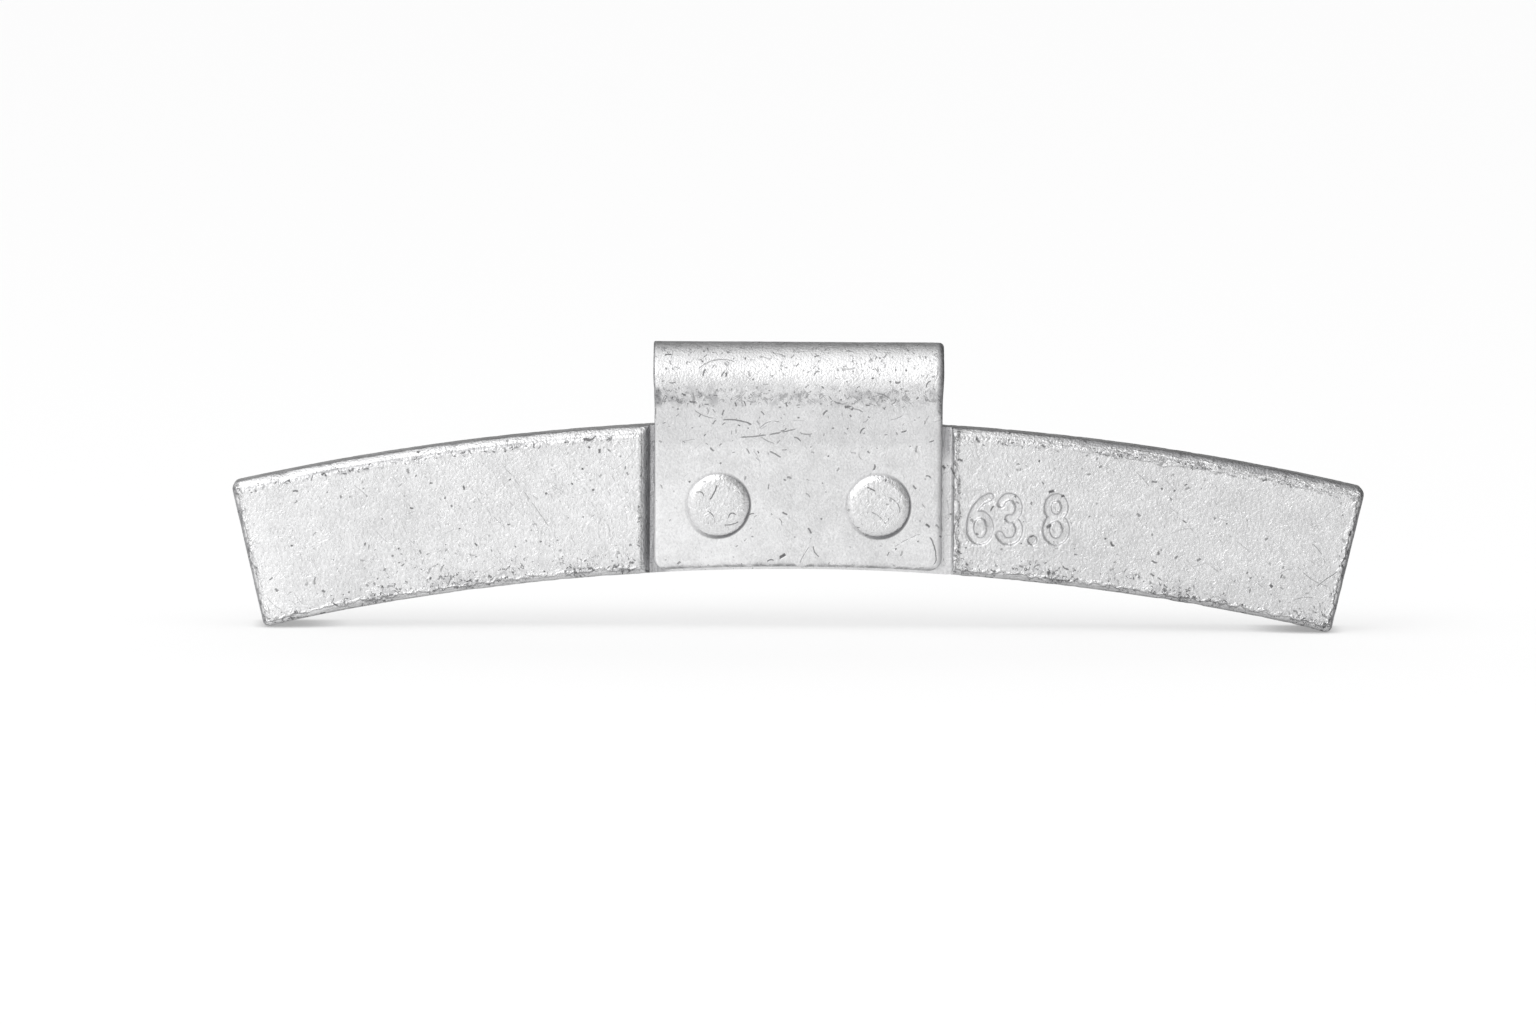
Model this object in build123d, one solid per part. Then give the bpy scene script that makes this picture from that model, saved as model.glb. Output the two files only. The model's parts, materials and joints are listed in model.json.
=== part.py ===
from build123d import *
import math
import os

# A clip-on balance weight for a car wheel: a curved steel bar, and a spring-steel clip that is
# staked to the bar's front and hooks over the lip of the rim.
# Frame: X runs along the rim, Y points from the front face towards the wheel, and Z points away
# from the wheel's centre. The origin is on the axis of the hook's bend, midway along the clip.
# Sizes are in millimetres and angles in degrees.

# Bar
BAR_OUTER_RADIUS = 220.0     # outer curve, about the wheel's centre
BAR_CHORD = 98.5             # between the two outer end corners, before they are rounded
BAR_HEIGHT = 12.85           # radial height
BAR_THICKNESS = 6.5          # front face to back face
BAR_SHOULDER_RADIUS = 3.5    # back of the outer edge, where the rim's lip curls over
BAR_EDGE_RADIUS = 0.75       # the other long edges
BAR_END_RADIUS = 0.65        # round the two end faces

# Clip
CLIP_WIDTH = 25.0
CLIP_THICKNESS = 1.0
CLIP_CORNER_RADIUS = 1.1     # at the foot and at the tail
CLIP_FOOT_MARGIN = 0.3       # bar left showing below the clip
HOOK_INNER_RADIUS = 2.85     # round the rim's lip
TAIL_FLARE = 35.0            # turn of the hook's tail away from the bar
TAIL_BEND_RADIUS = 1.5       # inside of the tail's bend
TAIL_LENGTH = 1.6            # straight end of the tail

# Channel across the bar's front, where the clip lies
CHANNEL_CLEARANCE = 0.33     # each side of the clip, at the channel's floor
CHANNEL_DRAFT = 32.0         # slope of the channel's walls
CHANNEL_EDGE_RADIUS = 0.25   # where the walls meet the bar's outside

# Studs, pushed out of the bar from behind and staked over the clip
STUD_SPACING = 13.9
STUD_DROP = 7.2              # below the top of the bar at its middle
STUD_DIAMETER = 4.5
STUD_HOLE_CLEARANCE = 0.05   # radial, in the clip
STUD_HEAD_DIAMETER = 5.4
STUD_TOP_DIAMETER = 4.5
STUD_HEAD_HEIGHT = 0.45
POCKET_DIAMETER = 4.4        # left in the bar's back by the punch
POCKET_DEPTH = 1.5

# Places that follow from the sizes above
CLIP_FACE_Y = -HOOK_INNER_RADIUS - CLIP_THICKNESS
CHANNEL_FLOOR_Y = -HOOK_INNER_RADIUS
BAR_FRONT_Y = CLIP_FACE_Y
BAR_BACK_Y = BAR_FRONT_Y + BAR_THICKNESS
BAR_TOP_Z = -HOOK_INNER_RADIUS
BAR_BOTTOM_Z = BAR_TOP_Z - BAR_HEIGHT
BAR_INNER_RADIUS = BAR_OUTER_RADIUS - BAR_HEIGHT
BAR_HALF_ANGLE = math.degrees(math.asin(BAR_CHORD / 2 / BAR_OUTER_RADIUS))
WHEEL_AXIS = Axis((0, 0, BAR_TOP_Z - BAR_OUTER_RADIUS), (0, 1, 0))
STUD_Z = BAR_TOP_Z - STUD_DROP
SPARE = 5.0                  # how far a cutting solid reaches past what it cuts
NEAR = 0.001                 # two places closer than this are the same


def facing_front(y):
    """Plane that looks at the front of the weight, at this depth."""
    return Plane((0, y, 0), x_dir=(1, 0, 0), z_dir=(0, -1, 0))


def bar_section():
    """Section of the bar at its middle: a rounded rectangle with a broad shoulder at the back."""
    outline = FilletPolyline(
        (BAR_FRONT_Y, BAR_BOTTOM_Z),
        (BAR_BACK_Y, BAR_BOTTOM_Z),
        (BAR_BACK_Y, BAR_TOP_Z),
        (BAR_FRONT_Y, BAR_TOP_Z),
        radius=[BAR_EDGE_RADIUS, BAR_EDGE_RADIUS, BAR_SHOULDER_RADIUS, BAR_EDGE_RADIUS],
        close=True,
    )
    return Plane.YZ * make_face(outline)


def bar_blank():
    """The section carried along the rim's curve, with the two ends rounded off."""
    first_end = bar_section().rotate(WHEEL_AXIS, -BAR_HALF_ANGLE)
    bar = revolve(first_end, WHEEL_AXIS, 2 * BAR_HALF_ANGLE)
    flats = bar.faces().filter_by(GeomType.PLANE).sort_by(Axis.X)
    return fillet(flats[0].edges() + flats[-1].edges(), BAR_END_RADIUS)


def clip_channel():
    """The space for the clip in the bar's front, with walls that open towards the face."""
    floor_half = CLIP_WIDTH / 2 + CHANNEL_CLEARANCE
    mouth_y = BAR_FRONT_Y - SPARE
    mouth_half = floor_half + (CHANNEL_FLOOR_Y - mouth_y) * math.tan(math.radians(CHANNEL_DRAFT))
    plan = Polygon(
        (-floor_half, CHANNEL_FLOOR_Y),
        (-mouth_half, mouth_y),
        (mouth_half, mouth_y),
        (floor_half, CHANNEL_FLOOR_Y),
        align=None,
    )
    return extrude(Pos(0, 0, BAR_BOTTOM_Z - SPARE) * plan, BAR_HEIGHT + 2 * SPARE)


def round_channel(bar):
    """The bar with the outer edges of its channel's two walls rounded."""
    flats = bar.faces().filter_by(GeomType.PLANE)
    walls = flats.filter_by(
        lambda face: BAR_FRONT_Y + NEAR < face.center().Y < CHANNEL_FLOOR_Y - NEAR
    )
    rims = walls.edges().filter_by(lambda edge: edge.center().Y < CHANNEL_FLOOR_Y - NEAR)
    return fillet(rims, CHANNEL_EDGE_RADIUS)


def stud_places():
    """Where the two studs stand."""
    return [Pos(side * STUD_SPACING / 2, 0, STUD_Z) for side in (-1, 1)]


def staked_stud():
    """One stud: a shank through the clip, and a low head spread over it."""
    shank = extrude(facing_front(CHANNEL_FLOOR_Y) * Circle(STUD_DIAMETER / 2), CLIP_THICKNESS)
    head_base = facing_front(CLIP_FACE_Y) * Circle(STUD_HEAD_DIAMETER / 2)
    head_top = facing_front(CLIP_FACE_Y - STUD_HEAD_HEIGHT) * Circle(STUD_TOP_DIAMETER / 2)
    return shank + loft([head_base, head_top])


def punch_pocket():
    """One pocket in the bar's back, behind a stud."""
    return extrude(facing_front(BAR_BACK_Y) * Circle(POCKET_DIAMETER / 2), POCKET_DEPTH)


def weight_body():
    """The bar with its channel, its two studs and the pockets behind them."""
    body = round_channel(bar_blank() - clip_channel())
    for place in stud_places():
        body = body + place * staked_stud() - place * punch_pocket()
    return body


def clip_line():
    """Inner side of the clip, seen from its end: up the front, over the lip and down the tail."""
    leg = Line((CHANNEL_FLOOR_Y, BAR_BOTTOM_Z - SPARE), (CHANNEL_FLOOR_Y, 0))
    hook = CenterArc((0, 0), HOOK_INNER_RADIUS, 180, -180)
    bend_radius = TAIL_BEND_RADIUS + CLIP_THICKNESS
    bend = CenterArc((HOOK_INNER_RADIUS + bend_radius, 0), bend_radius, 180, TAIL_FLARE)
    tail = Line(bend @ 1, bend @ 1 + (bend % 1) * TAIL_LENGTH)
    return Plane.YZ * Wire([leg, hook, bend, tail])


def rim_clip():
    """The clip: a bent strip with its foot trimmed along the bar, and a hole for each stud."""
    strip = make_brake_formed(CLIP_THICKNESS, CLIP_WIDTH, clip_line(), Side.LEFT)
    strip = Pos(-CLIP_WIDTH / 2, 0, 0) * strip
    wheel_side = Pos(0, WHEEL_AXIS.position.Z) * Circle(BAR_INNER_RADIUS + CLIP_FOOT_MARGIN)
    strip = strip - extrude(facing_front(CHANNEL_FLOOR_Y + SPARE) * wheel_side, 2 * SPARE)
    across = strip.edges().filter_by(GeomType.LINE)
    corners = across.filter_by(lambda edge: abs(edge.length - CLIP_THICKNESS) < NEAR)
    strip = fillet(corners, CLIP_CORNER_RADIUS)
    hole = facing_front(CHANNEL_FLOOR_Y + SPARE) * Circle(STUD_DIAMETER / 2 + STUD_HOLE_CLEARANCE)
    for place in stud_places():
        strip = strip - place * extrude(hole, CLIP_THICKNESS + 2 * SPARE)
    return strip


if __name__ == "__main__":
    os.makedirs("parts", exist_ok=True)
    export_step(weight_body(), "parts/weight_body.step")
    export_step(rim_clip(), "parts/rim_clip.step")
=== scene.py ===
import json
import math

import bmesh
import bpy
import numpy as np
from bpy.props import FloatProperty, FloatVectorProperty, PointerProperty
from mathutils import Matrix, Vector, noise


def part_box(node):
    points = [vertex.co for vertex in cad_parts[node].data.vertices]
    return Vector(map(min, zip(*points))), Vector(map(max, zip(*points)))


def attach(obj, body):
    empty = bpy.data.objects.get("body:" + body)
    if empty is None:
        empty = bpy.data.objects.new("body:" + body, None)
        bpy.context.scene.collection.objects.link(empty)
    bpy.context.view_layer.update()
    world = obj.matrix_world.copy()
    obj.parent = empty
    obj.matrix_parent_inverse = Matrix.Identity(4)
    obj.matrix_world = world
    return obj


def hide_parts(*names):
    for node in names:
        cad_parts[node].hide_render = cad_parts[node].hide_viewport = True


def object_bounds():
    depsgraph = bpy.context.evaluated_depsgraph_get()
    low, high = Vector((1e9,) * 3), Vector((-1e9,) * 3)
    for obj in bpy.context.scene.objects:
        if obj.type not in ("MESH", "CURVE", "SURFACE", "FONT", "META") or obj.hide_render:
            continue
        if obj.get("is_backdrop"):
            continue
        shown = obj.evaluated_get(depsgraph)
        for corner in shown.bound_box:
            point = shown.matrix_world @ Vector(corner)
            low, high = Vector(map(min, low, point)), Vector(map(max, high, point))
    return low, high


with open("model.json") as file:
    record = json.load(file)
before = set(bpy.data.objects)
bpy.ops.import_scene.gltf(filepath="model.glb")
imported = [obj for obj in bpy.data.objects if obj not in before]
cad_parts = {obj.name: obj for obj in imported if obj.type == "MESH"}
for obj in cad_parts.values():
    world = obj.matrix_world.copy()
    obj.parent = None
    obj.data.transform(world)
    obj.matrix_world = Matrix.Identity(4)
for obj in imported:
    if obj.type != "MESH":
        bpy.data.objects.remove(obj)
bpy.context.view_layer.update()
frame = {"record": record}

bl_info = {
    "name": "Clip-on wheel weight",
    "version": (1, 0, 0),
    "blender": (4, 5, 0),
    "location": "3D View > Sidebar > Wheel weight",
    "description": "Builds a clip-on balance weight for a car wheel, and a small studio for it",
    "category": "Object",
}

# Frame: X runs along the rim, Y points from the front face towards the wheel, and Z points away
# from the wheel's centre. Sizes are in metres. Patterns are laid out in millimetres.
MM = 0.001

bar_low, bar_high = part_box("weight_body")
clip_low, clip_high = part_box("rim_clip")

# How closely the skins are divided
ARM_STEP = 0.2 * MM
FLOOR_STEP = 0.9 * MM
WALL_STEP = 0.05 * MM
STEPS_BEFORE_WALL = 4
STEPS_PAST_WALL = 28
LEG_STEP = 0.2 * MM
HOOK_STEP = 0.16 * MM
SECTION_COUNTS = {
    "front_low": 10, "front": 60, "front_high": 14, "top": 8,
    "shoulder": 10, "back": 10, "back_low": 6, "bottom": 8,
}
END_ROWS = 10
CAP_RINGS = 9
CLIP_COLUMNS = 124
CLIP_EDGE_COLUMNS = 5
CLIP_END_ROWS = 14
CLIP_LINE_POINTS = 6000
STUD_SPOKES = 96
STUD_FLANK_RINGS = 9
STUD_FACE_RINGS = 16
FIGURE_CUTS = 4
STROKE_POINTS = 40

# Small forms
TINY = 0.03 * MM  # least radius of an edge
SAME_PLACE = 0.0005 * MM  # points closer than this are one
NO_LENGTH = 1e-18  # keeps a division from zero
CREASE = math.radians(40)  # edges that turn more than this look sharp
LEAN_FROM = 15 * MM  # from the middle, where the bar's sections stand upright
LEAN_TO = 30 * MM  # and where they point to the wheel's centre
PILLOW_REACH = 4 * MM  # from the ends, where the front falls away
TOE_REACH = 6 * MM  # from the ends, where the lower edge drops
LIP_SLOPE = 0.3  # of the low lip, at the channel's wall
EDGE_FLATNESS = 1.35  # of the upper front edge, where 1 is round
EDGE_LENGTH = 0.74  # length over that edge up to its middle, for each unit of its width
STUD_ROOT = 0.5 * MM  # how far a stud goes on inside the bar
STUD_UNDERCUT = 0.1 * MM  # under the rim of its head
STUD_SWELL = 0.07 * MM  # of the head's flank
STUD_DOME = 0.05 * MM  # of the head's face
STUD_DOME_POWER = 6  # how flat the middle of that face is
STUD_FACE_SHARES = (0.94, 0.05)  # first and last ring on it, as shares of its radius
STUD_OVAL = 0.012  # how far its outline is oval, as a share of its radius
STUD_LOBES = 0.008  # and five-lobed
POCKET_BEVEL = 0.25 * MM
HOOK_BLEND = 1.5 * MM  # to each side of a bend's limits, where the strip starts to spread
ARCH_REACH = 7 * MM  # up from the clip's foot, where its arch fades out
EDGE_SHARE = 0.9  # of half the strip's thickness, the most that an edge takes
EDGE_TURN = (0.05, 0.6)  # turn for each millimetre, on flat skin and on an edge

# Unevenness of the skins: size and seed of each kind, and the levels above which nicks and chips
# show
RIPPLES = {
    "rolling": (4.5 * MM, 1), "grain": (0.6 * MM, 2), "figure": (1.7 * MM, 3),
    "nick": (1.1 * MM, 4), "chip": (0.5 * MM, 5),
}
SEED_SHIFT = Vector((17.3, 5.1, -11.7))  # from one seed's noise to the next
NICK_LIMIT = 0.12
CHIP_LIMIT = 0.15
CHIP_SHARE = 0.6  # depth of a chip, where a nick's is 1

# The coat: tone of its darkest and lightest grain, its roughness and its relief, the size of its
# grain in millimetres, and how smudged and marked places dull it, painted shade among them
BAR_COAT = {
    "dark": 0.86, "light": 1.15, "glossy": 0.28, "dull": 0.42, "relief": 2.4, "bump": 0.65,
}
CLIP_COAT = {
    "dark": 0.83, "light": 1.17, "glossy": 0.28, "dull": 0.42, "relief": 1.0, "bump": 0.6,
}
BAR_GRAIN = 0.22
CLIP_GRAIN = 0.18
TONE_RANGE = (0.3, 0.7)
DULLNESS_RANGE = (0.35, 0.65)
SMUDGE_DULLING = 0.12
MARK_DULLING = 0.2
BUMP_DEPTH = 0.06 * MM

# Where the patterns of caps, studs and pockets lie, well away from the rest, in millimetres
CAP_PATCH = 300.0
STUD_PATCH = 500.0
POCKET_PATCH = 700.0
UNROLLED = "unrolled"
ORIGIN = (0.0, 0.0, 0.0)


def setting(kind, **fixed):
    """A maker of one kind of setting: each has a name, a description and a default."""
    def make(name, description, default):
        return kind(name=name, description=description, default=default, **fixed)

    return make


LengthProperty = setting(FloatProperty, unit="LENGTH")
LengthPairProperty = setting(FloatVectorProperty, size=2, unit="LENGTH")
PlaceProperty = setting(FloatVectorProperty, subtype="XYZ", unit="LENGTH")
AngleProperty = setting(FloatProperty, subtype="ANGLE")
ShareProperty = setting(FloatProperty, min=0, max=1, subtype="FACTOR")
ColourProperty = setting(FloatVectorProperty, subtype="COLOR", size=4, min=0, max=1)
OpticsProperty = setting(FloatProperty, unit="CAMERA")
PowerProperty = setting(FloatProperty, unit="POWER")


class BarSizes(bpy.types.PropertyGroup):
    """Sizes of the curved bar."""

    outer_radius: LengthProperty("Outer radius", "Outer curve, about the wheel's centre", 220 * MM)
    chord: LengthProperty(
        "Chord", "Between the two outer end corners, before they are rounded", 98.5 * MM)
    height: LengthProperty("Height", "Radial height", 12.85 * MM)
    front: LengthProperty("Front", "Depth of the front face", clip_low.y)
    back: LengthProperty("Back", "Depth of the back face", bar_high.y)
    top: LengthProperty("Top", "Top of the bar at its middle", bar_high.z)
    shoulder: LengthProperty("Shoulder", "Radius at the back of the outer edge", 3.5 * MM)
    edge: LengthProperty("Edge", "Radius of the other long edges", 0.75 * MM)
    top_edge: LengthProperty("Top edge", "Width of the flattened upper front edge", 0.9 * MM)
    end: LengthProperty("End", "Radius round the two end faces", 0.65 * MM)
    toe: LengthProperty("Toe", "How far the lower edge drops towards the ends", 0.12 * MM)
    pillow: LengthProperty("Pillow", "How far the front falls away towards the ends", 0.07 * MM)
    channel_half: LengthPairProperty(
        "Channel half width", "From the middle to the foot of each channel wall",
        (clip_high.x + 0.35 * MM, clip_high.x + 0.78 * MM))
    channel_wall: LengthPairProperty(
        "Channel wall", "Width of each of the channel's sloping walls", (0.76 * MM, 0.2 * MM))
    channel_edge: LengthProperty(
        "Channel edge", "Rounding where these walls meet the front", 0.3 * MM)
    channel_lip: LengthPairProperty(
        "Channel lip", "Width of the low lip in front of each of these walls",
        (0.1 * MM, 0.36 * MM))


class ClipSizes(bpy.types.PropertyGroup):
    """Sizes of the spring clip."""

    width: LengthProperty("Width", "Width of the strip", 2 * clip_high.x)
    thickness: LengthProperty("Thickness", "Thickness of the strip", 1 * MM)
    hook: LengthProperty(
        "Hook", "Inner radius round the rim's lip",
        frame["record"]["mounts"][0]["dims"]["r_mm"] * MM)
    corner: LengthProperty("Corner", "Radius of the corners at the foot and at the tail", 1.1 * MM)
    foot_margin: LengthProperty("Foot margin", "Bar left showing below the clip", 0.3 * MM)
    tail_flare: AngleProperty(
        "Tail flare", "Turn of the hook's tail away from the bar", math.radians(35))
    tail_bend: LengthProperty("Tail bend", "Inner radius of the tail's bend", 1.5 * MM)
    tail: LengthProperty("Tail", "Straight end of the tail", 1.6 * MM)
    edge: LengthProperty("Edge", "Rounding of the strip's cut edges", 0.16 * MM)
    rolled_edge: LengthProperty(
        "Rolled edge", "Rounding of the front of the right edge, from the shears", 0.42 * MM)
    bulge: LengthProperty(
        "Bulge", "How far the strip spreads to each side round the hook", 0.12 * MM)


class StudSizes(bpy.types.PropertyGroup):
    """Sizes of the two staked studs and of the pockets behind them."""

    spacing: LengthProperty("Spacing", "Between the two studs", 13.9 * MM)
    drop: LengthProperty("Drop", "Below the top of the bar at its middle", 7.2 * MM)
    shank: LengthProperty("Shank", "Diameter through the clip", 4.5 * MM)
    hole: LengthProperty("Hole", "Diameter of the clip's holes", 4.6 * MM)
    head: LengthProperty("Head", "Diameter of the head at the clip", 5.4 * MM)
    face: LengthProperty("Face", "Diameter of the head's flat face", 4.5 * MM)
    rise: LengthProperty("Rise", "Height of the head above the clip", clip_low.y - bar_low.y)
    pocket: LengthProperty("Pocket", "Diameter of the pocket that the punch leaves", 4.4 * MM)
    pocket_depth: LengthProperty("Pocket depth", "Depth of that pocket", 1.5 * MM)


class FigureSizes(bpy.types.PropertyGroup):
    """Sizes of the mass figure that is stamped into the bar, in grams."""

    middle: LengthPairProperty(
        "Middle", "Middle of the figure on the bar's front, across and up",
        (19.1 * MM, -11.15 * MM))
    height: LengthProperty("Height", "Height of a digit", 3.9 * MM)
    stroke: LengthProperty("Stroke", "Width of a stroke", 0.6 * MM)
    depth: LengthProperty("Depth", "How deep the figure is stamped", 0.32 * MM)


class FinishColours(bpy.types.PropertyGroup):
    """Colours of the zinc coat and of what lies on it: pits, scratches, rubbing and painted shade.
    """

    bar_zinc: ColourProperty("Bar zinc", "Zinc coat of the bar", (0.815, 0.815, 0.82, 1))
    clip_zinc: ColourProperty("Clip zinc", "Zinc coat of the clip", (0.82, 0.82, 0.825, 1))
    # Also the colour of painted shade: in the figure's walls, along the lower front edge, the ends
    # and the top edge, and round the studs
    mark: ColourProperty("Mark", "Bottom of pits and scratches", (0.13, 0.13, 0.135, 1))
    # Also the colour of painted shade: in the channel, along the top edge, the lower front edge and
    # the ends, and round the studs
    smudge_and_shade: ColourProperty("Smudge", "Rubbed and dulled zinc", (0.4, 0.4, 0.41, 1))


class StageSettings(bpy.types.PropertyGroup):
    """Camera, floor and lights."""

    distance: LengthProperty("Distance", "From the camera to the weight", 0.9)
    lens: OpticsProperty("Lens", "Focal length in millimetres", 242.2)
    sensor: OpticsProperty("Sensor", "Width of the camera's sensor in millimetres", 36)
    elevation: AngleProperty("Elevation", "Of the camera above the floor's plane", math.radians(6))
    roll: AngleProperty("Roll", "Of the camera about its own line of sight", math.radians(0.32))
    aim: PlaceProperty(
        "Aim", "The place in the middle of the picture", (-2.61 * MM, -0.6 * MM, -10.98 * MM))
    floor_colour: ColourProperty(
        "Floor colour", "Paper under the weight", (0.335, 0.335, 0.335, 1))
    floor_glow: ShareProperty(
        "Floor glow", "White that the paper adds to the camera's view of it", 0.61)
    floor_falloff: ShareProperty(
        "Floor falloff", "Share of that white at the right, in reflections", 0.7)
    contact: LengthProperty(
        "Contact", "How near the weight has to be to darken that white", 1.6 * MM)
    key_power: PowerProperty("Key power", "Of the large lamp at the upper left", 0.7)
    key_size: LengthProperty("Key size", "Side of that lamp", 0.35)
    key_place: PlaceProperty("Key place", "Where that lamp hangs", (-0.3, -0.38, 0.4))
    floor_reach: LengthProperty("Floor reach", "From the middle of the floor to its edges", 6)


# Small helpers

def smooth_step(value, start, end):
    """Goes smoothly from 0 at start to 1 at end, for numbers and arrays."""
    share = np.clip((value - start) / (end - start), 0, 1)
    return share * share * (3 - 2 * share)


def smooth_min(first, second, blend):
    """The smaller of two values, with the corner between them rounded."""
    overlap = np.maximum(blend - np.abs(first - second), 0)
    return np.minimum(first, second) - overlap * overlap / (4 * blend)


def ripple(places, kind):
    """Smooth noise from -1 to 1 at each place, of one of the kinds of unevenness."""
    size, seed = RIPPLES[kind]
    shift = SEED_SHIFT * seed
    return np.array([noise.noise(Vector(place) / size + shift) for place in places])


def bar_half_angle(bar):
    """Angle at the wheel's centre from the bar's middle to its end."""
    return math.asin(bar.chord / 2 / bar.outer_radius)


def middle_radius(bar):
    """Radius of the curve midway up the bar."""
    return bar.outer_radius - bar.height / 2


def wheel_centre_z(bar):
    """Height of the wheel's centre."""
    return bar.top - bar.outer_radius


def clip_foot_radius(bar, clip):
    """Radius of the curve along which the clip's foot is trimmed."""
    return bar.outer_radius - bar.height + clip.foot_margin


def clip_depth():
    """Depth of the channel, which is the clip's thickness."""
    return bpy.context.scene.weight_clip.thickness


# Mesh builders

def length_round(first, second):
    """Length round a closed section up to each of its points, from their two coordinates."""
    steps = np.hypot(np.diff(first, append=first[0]), np.diff(second, append=second[0]))
    return np.concatenate(([0], np.cumsum(steps)))


def quad_rows(rows, columns):
    """Faces of a grid of points that closes on itself, row by row, as four corner numbers each."""
    row, column = np.meshgrid(np.arange(rows - 1), np.arange(columns), indexing="ij")
    after = (column + 1) % columns
    corners = (row * columns + column, (row + 1) * columns + column,
               (row + 1) * columns + after, row * columns + after)
    return np.stack(corners, -1).reshape(-1, 4)


def quad_unrolled(unrolled):
    """Pattern coordinates of those faces, from a grid of them that has one column more."""
    low, high = unrolled[:-1], unrolled[1:]
    corners = (low[:, :-1], high[:, :-1], high[:, 1:], low[:, 1:])
    return np.stack(corners, 2).reshape(-1, 4, 2)


def mesh_from(name, places, faces, patterns):
    """A mesh object from places, faces and the pattern coordinates of the faces' corners."""
    mesh = bpy.data.meshes.new(name)
    mesh.from_pydata([tuple(place) for place in places], [], [tuple(face) for face in faces])
    layer = mesh.uv_layers.new(name=UNROLLED)
    flat = np.concatenate([np.asarray(pattern, float).reshape(-1) for pattern in patterns])
    layer.data.foreach_set("uv", flat)
    mesh.validate()
    obj = bpy.data.objects.new(name, mesh)
    bpy.context.scene.collection.objects.link(obj)
    with_bmesh(mesh, lambda shape: bmesh.ops.recalc_face_normals(shape, faces=shape.faces))
    return obj


def with_bmesh(mesh, work):
    """Runs work on a mesh as a bmesh."""
    shape = bmesh.new()
    shape.from_mesh(mesh)
    work(shape)
    shape.to_mesh(mesh)
    shape.free()
    mesh.update()


def mesh_places(mesh):
    """Places of a mesh's points, a row for each."""
    places = np.empty(len(mesh.vertices) * 3)
    mesh.vertices.foreach_get("co", places)
    return places.reshape(-1, 3)


def mesh_normals(mesh):
    """Directions in which a mesh's points face, a row for each."""
    normals = np.empty(len(mesh.vertices) * 3)
    mesh.vertex_normals.foreach_get("vector", normals)
    return normals.reshape(-1, 3)


def set_places(mesh, places):
    """Moves a mesh's points to these places."""
    mesh.vertices.foreach_set("co", places.reshape(-1))
    mesh.update()


def combine(obj, tool, operation):
    """Joins a tool to an object or cuts it out of it, and removes the tool."""
    step = obj.modifiers.new(operation, "BOOLEAN")
    step.operation = operation
    step.solver = "EXACT"
    step.object = tool
    bpy.context.view_layer.update()
    graph = bpy.context.evaluated_depsgraph_get()
    made = bpy.data.meshes.new_from_object(obj.evaluated_get(graph))
    obj.modifiers.clear()
    old, tool_mesh = obj.data, tool.data
    name = old.name
    obj.data = made
    bpy.data.objects.remove(tool)
    bpy.data.meshes.remove(tool_mesh)
    bpy.data.meshes.remove(old)
    made.name = name


def finish_mesh(obj, material):
    """Smooth shading with its creases, one material, and merged doubles."""
    mesh = obj.data
    with_bmesh(mesh, lambda shape: bmesh.ops.remove_doubles(
        shape, verts=shape.verts, dist=SAME_PLACE))
    mesh.shade_smooth()
    mesh.set_sharp_from_angle(angle=CREASE)
    mesh.materials.clear()
    mesh.materials.append(material)


def turned(name, profile, spokes, place, patch, wobble=None):
    """A solid turned about the front-to-back line through a place. The profile is radius and
    depth, from the middle of one end to the middle of the other."""
    angles = np.linspace(0, 2 * math.pi, spokes, endpoint=False)
    stud_shadows = np.array(profile[1:-1])
    radius = np.repeat(stud_shadows[:, :1], spokes, 1)
    if wobble is not None:
        radius = radius * wobble(angles)
    x = place[0] + radius * np.cos(angles)
    z = place[1] + radius * np.sin(angles)
    y = np.repeat(stud_shadows[:, 1:], spokes, 1)
    places = np.stack((x, y, z), -1).reshape(-1, 3)
    ends = [(place[0], profile[0][1], place[1]), (place[0], profile[-1][1], place[1])]
    first, last = len(places), len(places) + 1
    faces = list(quad_rows(len(stud_shadows), spokes))
    final = (len(stud_shadows) - 1) * spokes
    for spoke in range(spokes):
        after = (spoke + 1) % spokes
        faces.append((first, spoke, after))
        faces.append((last, final + after, final + spoke))
    places = np.vstack((places, ends))
    patterns = [places[list(face)][:, [0, 2]] / MM + (patch, 0) for face in faces]
    return mesh_from(name, places, faces, patterns)


# Bar

def bar_stations(bar):
    """Distances along the bar where its section is drawn, and how far each is from the end."""
    end = middle_radius(bar) * bar_half_angle(bar)
    wall_start = min(bar.channel_half) - STEPS_BEFORE_WALL * WALL_STEP
    wall_end = min(bar.channel_half) + STEPS_PAST_WALL * WALL_STEP
    turn = np.linspace(0, math.pi / 2, END_ROWS)
    half = np.concatenate((
        np.linspace(0, wall_start, round(wall_start / FLOOR_STEP), endpoint=False),
        np.arange(wall_start, wall_end, WALL_STEP),
        np.linspace(wall_end, end - bar.end, round((end - wall_end) / ARM_STEP), endpoint=False),
        end - bar.end * (1 - np.sin(turn)),
    ))
    along = np.concatenate((-half[:0:-1], half))
    return along, end - np.abs(along)


def end_inset(gap, radius):
    """How far a side draws in at this distance from the end, for a rounded end."""
    left = np.clip(radius - gap, 0, radius)
    return radius - np.sqrt(radius * radius - left * left)


def channel_rise(bar, along):
    """Height of the front over the channel's floor, with sloping walls and rounded edges."""
    full = clip_depth()
    foot, width, lip = (np.where(along < 0, *pair) for pair in (
        bar.channel_half, bar.channel_wall, bar.channel_lip))
    wall = (np.abs(along) - foot) / width * full
    rise = smooth_min(wall, np.full_like(wall, full), bar.channel_edge)
    rise -= LIP_SLOPE * lip * np.clip(1 - (np.abs(along) - foot - width) / lip, 0, 1) ** 2
    return np.maximum(rise, 0)


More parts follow.
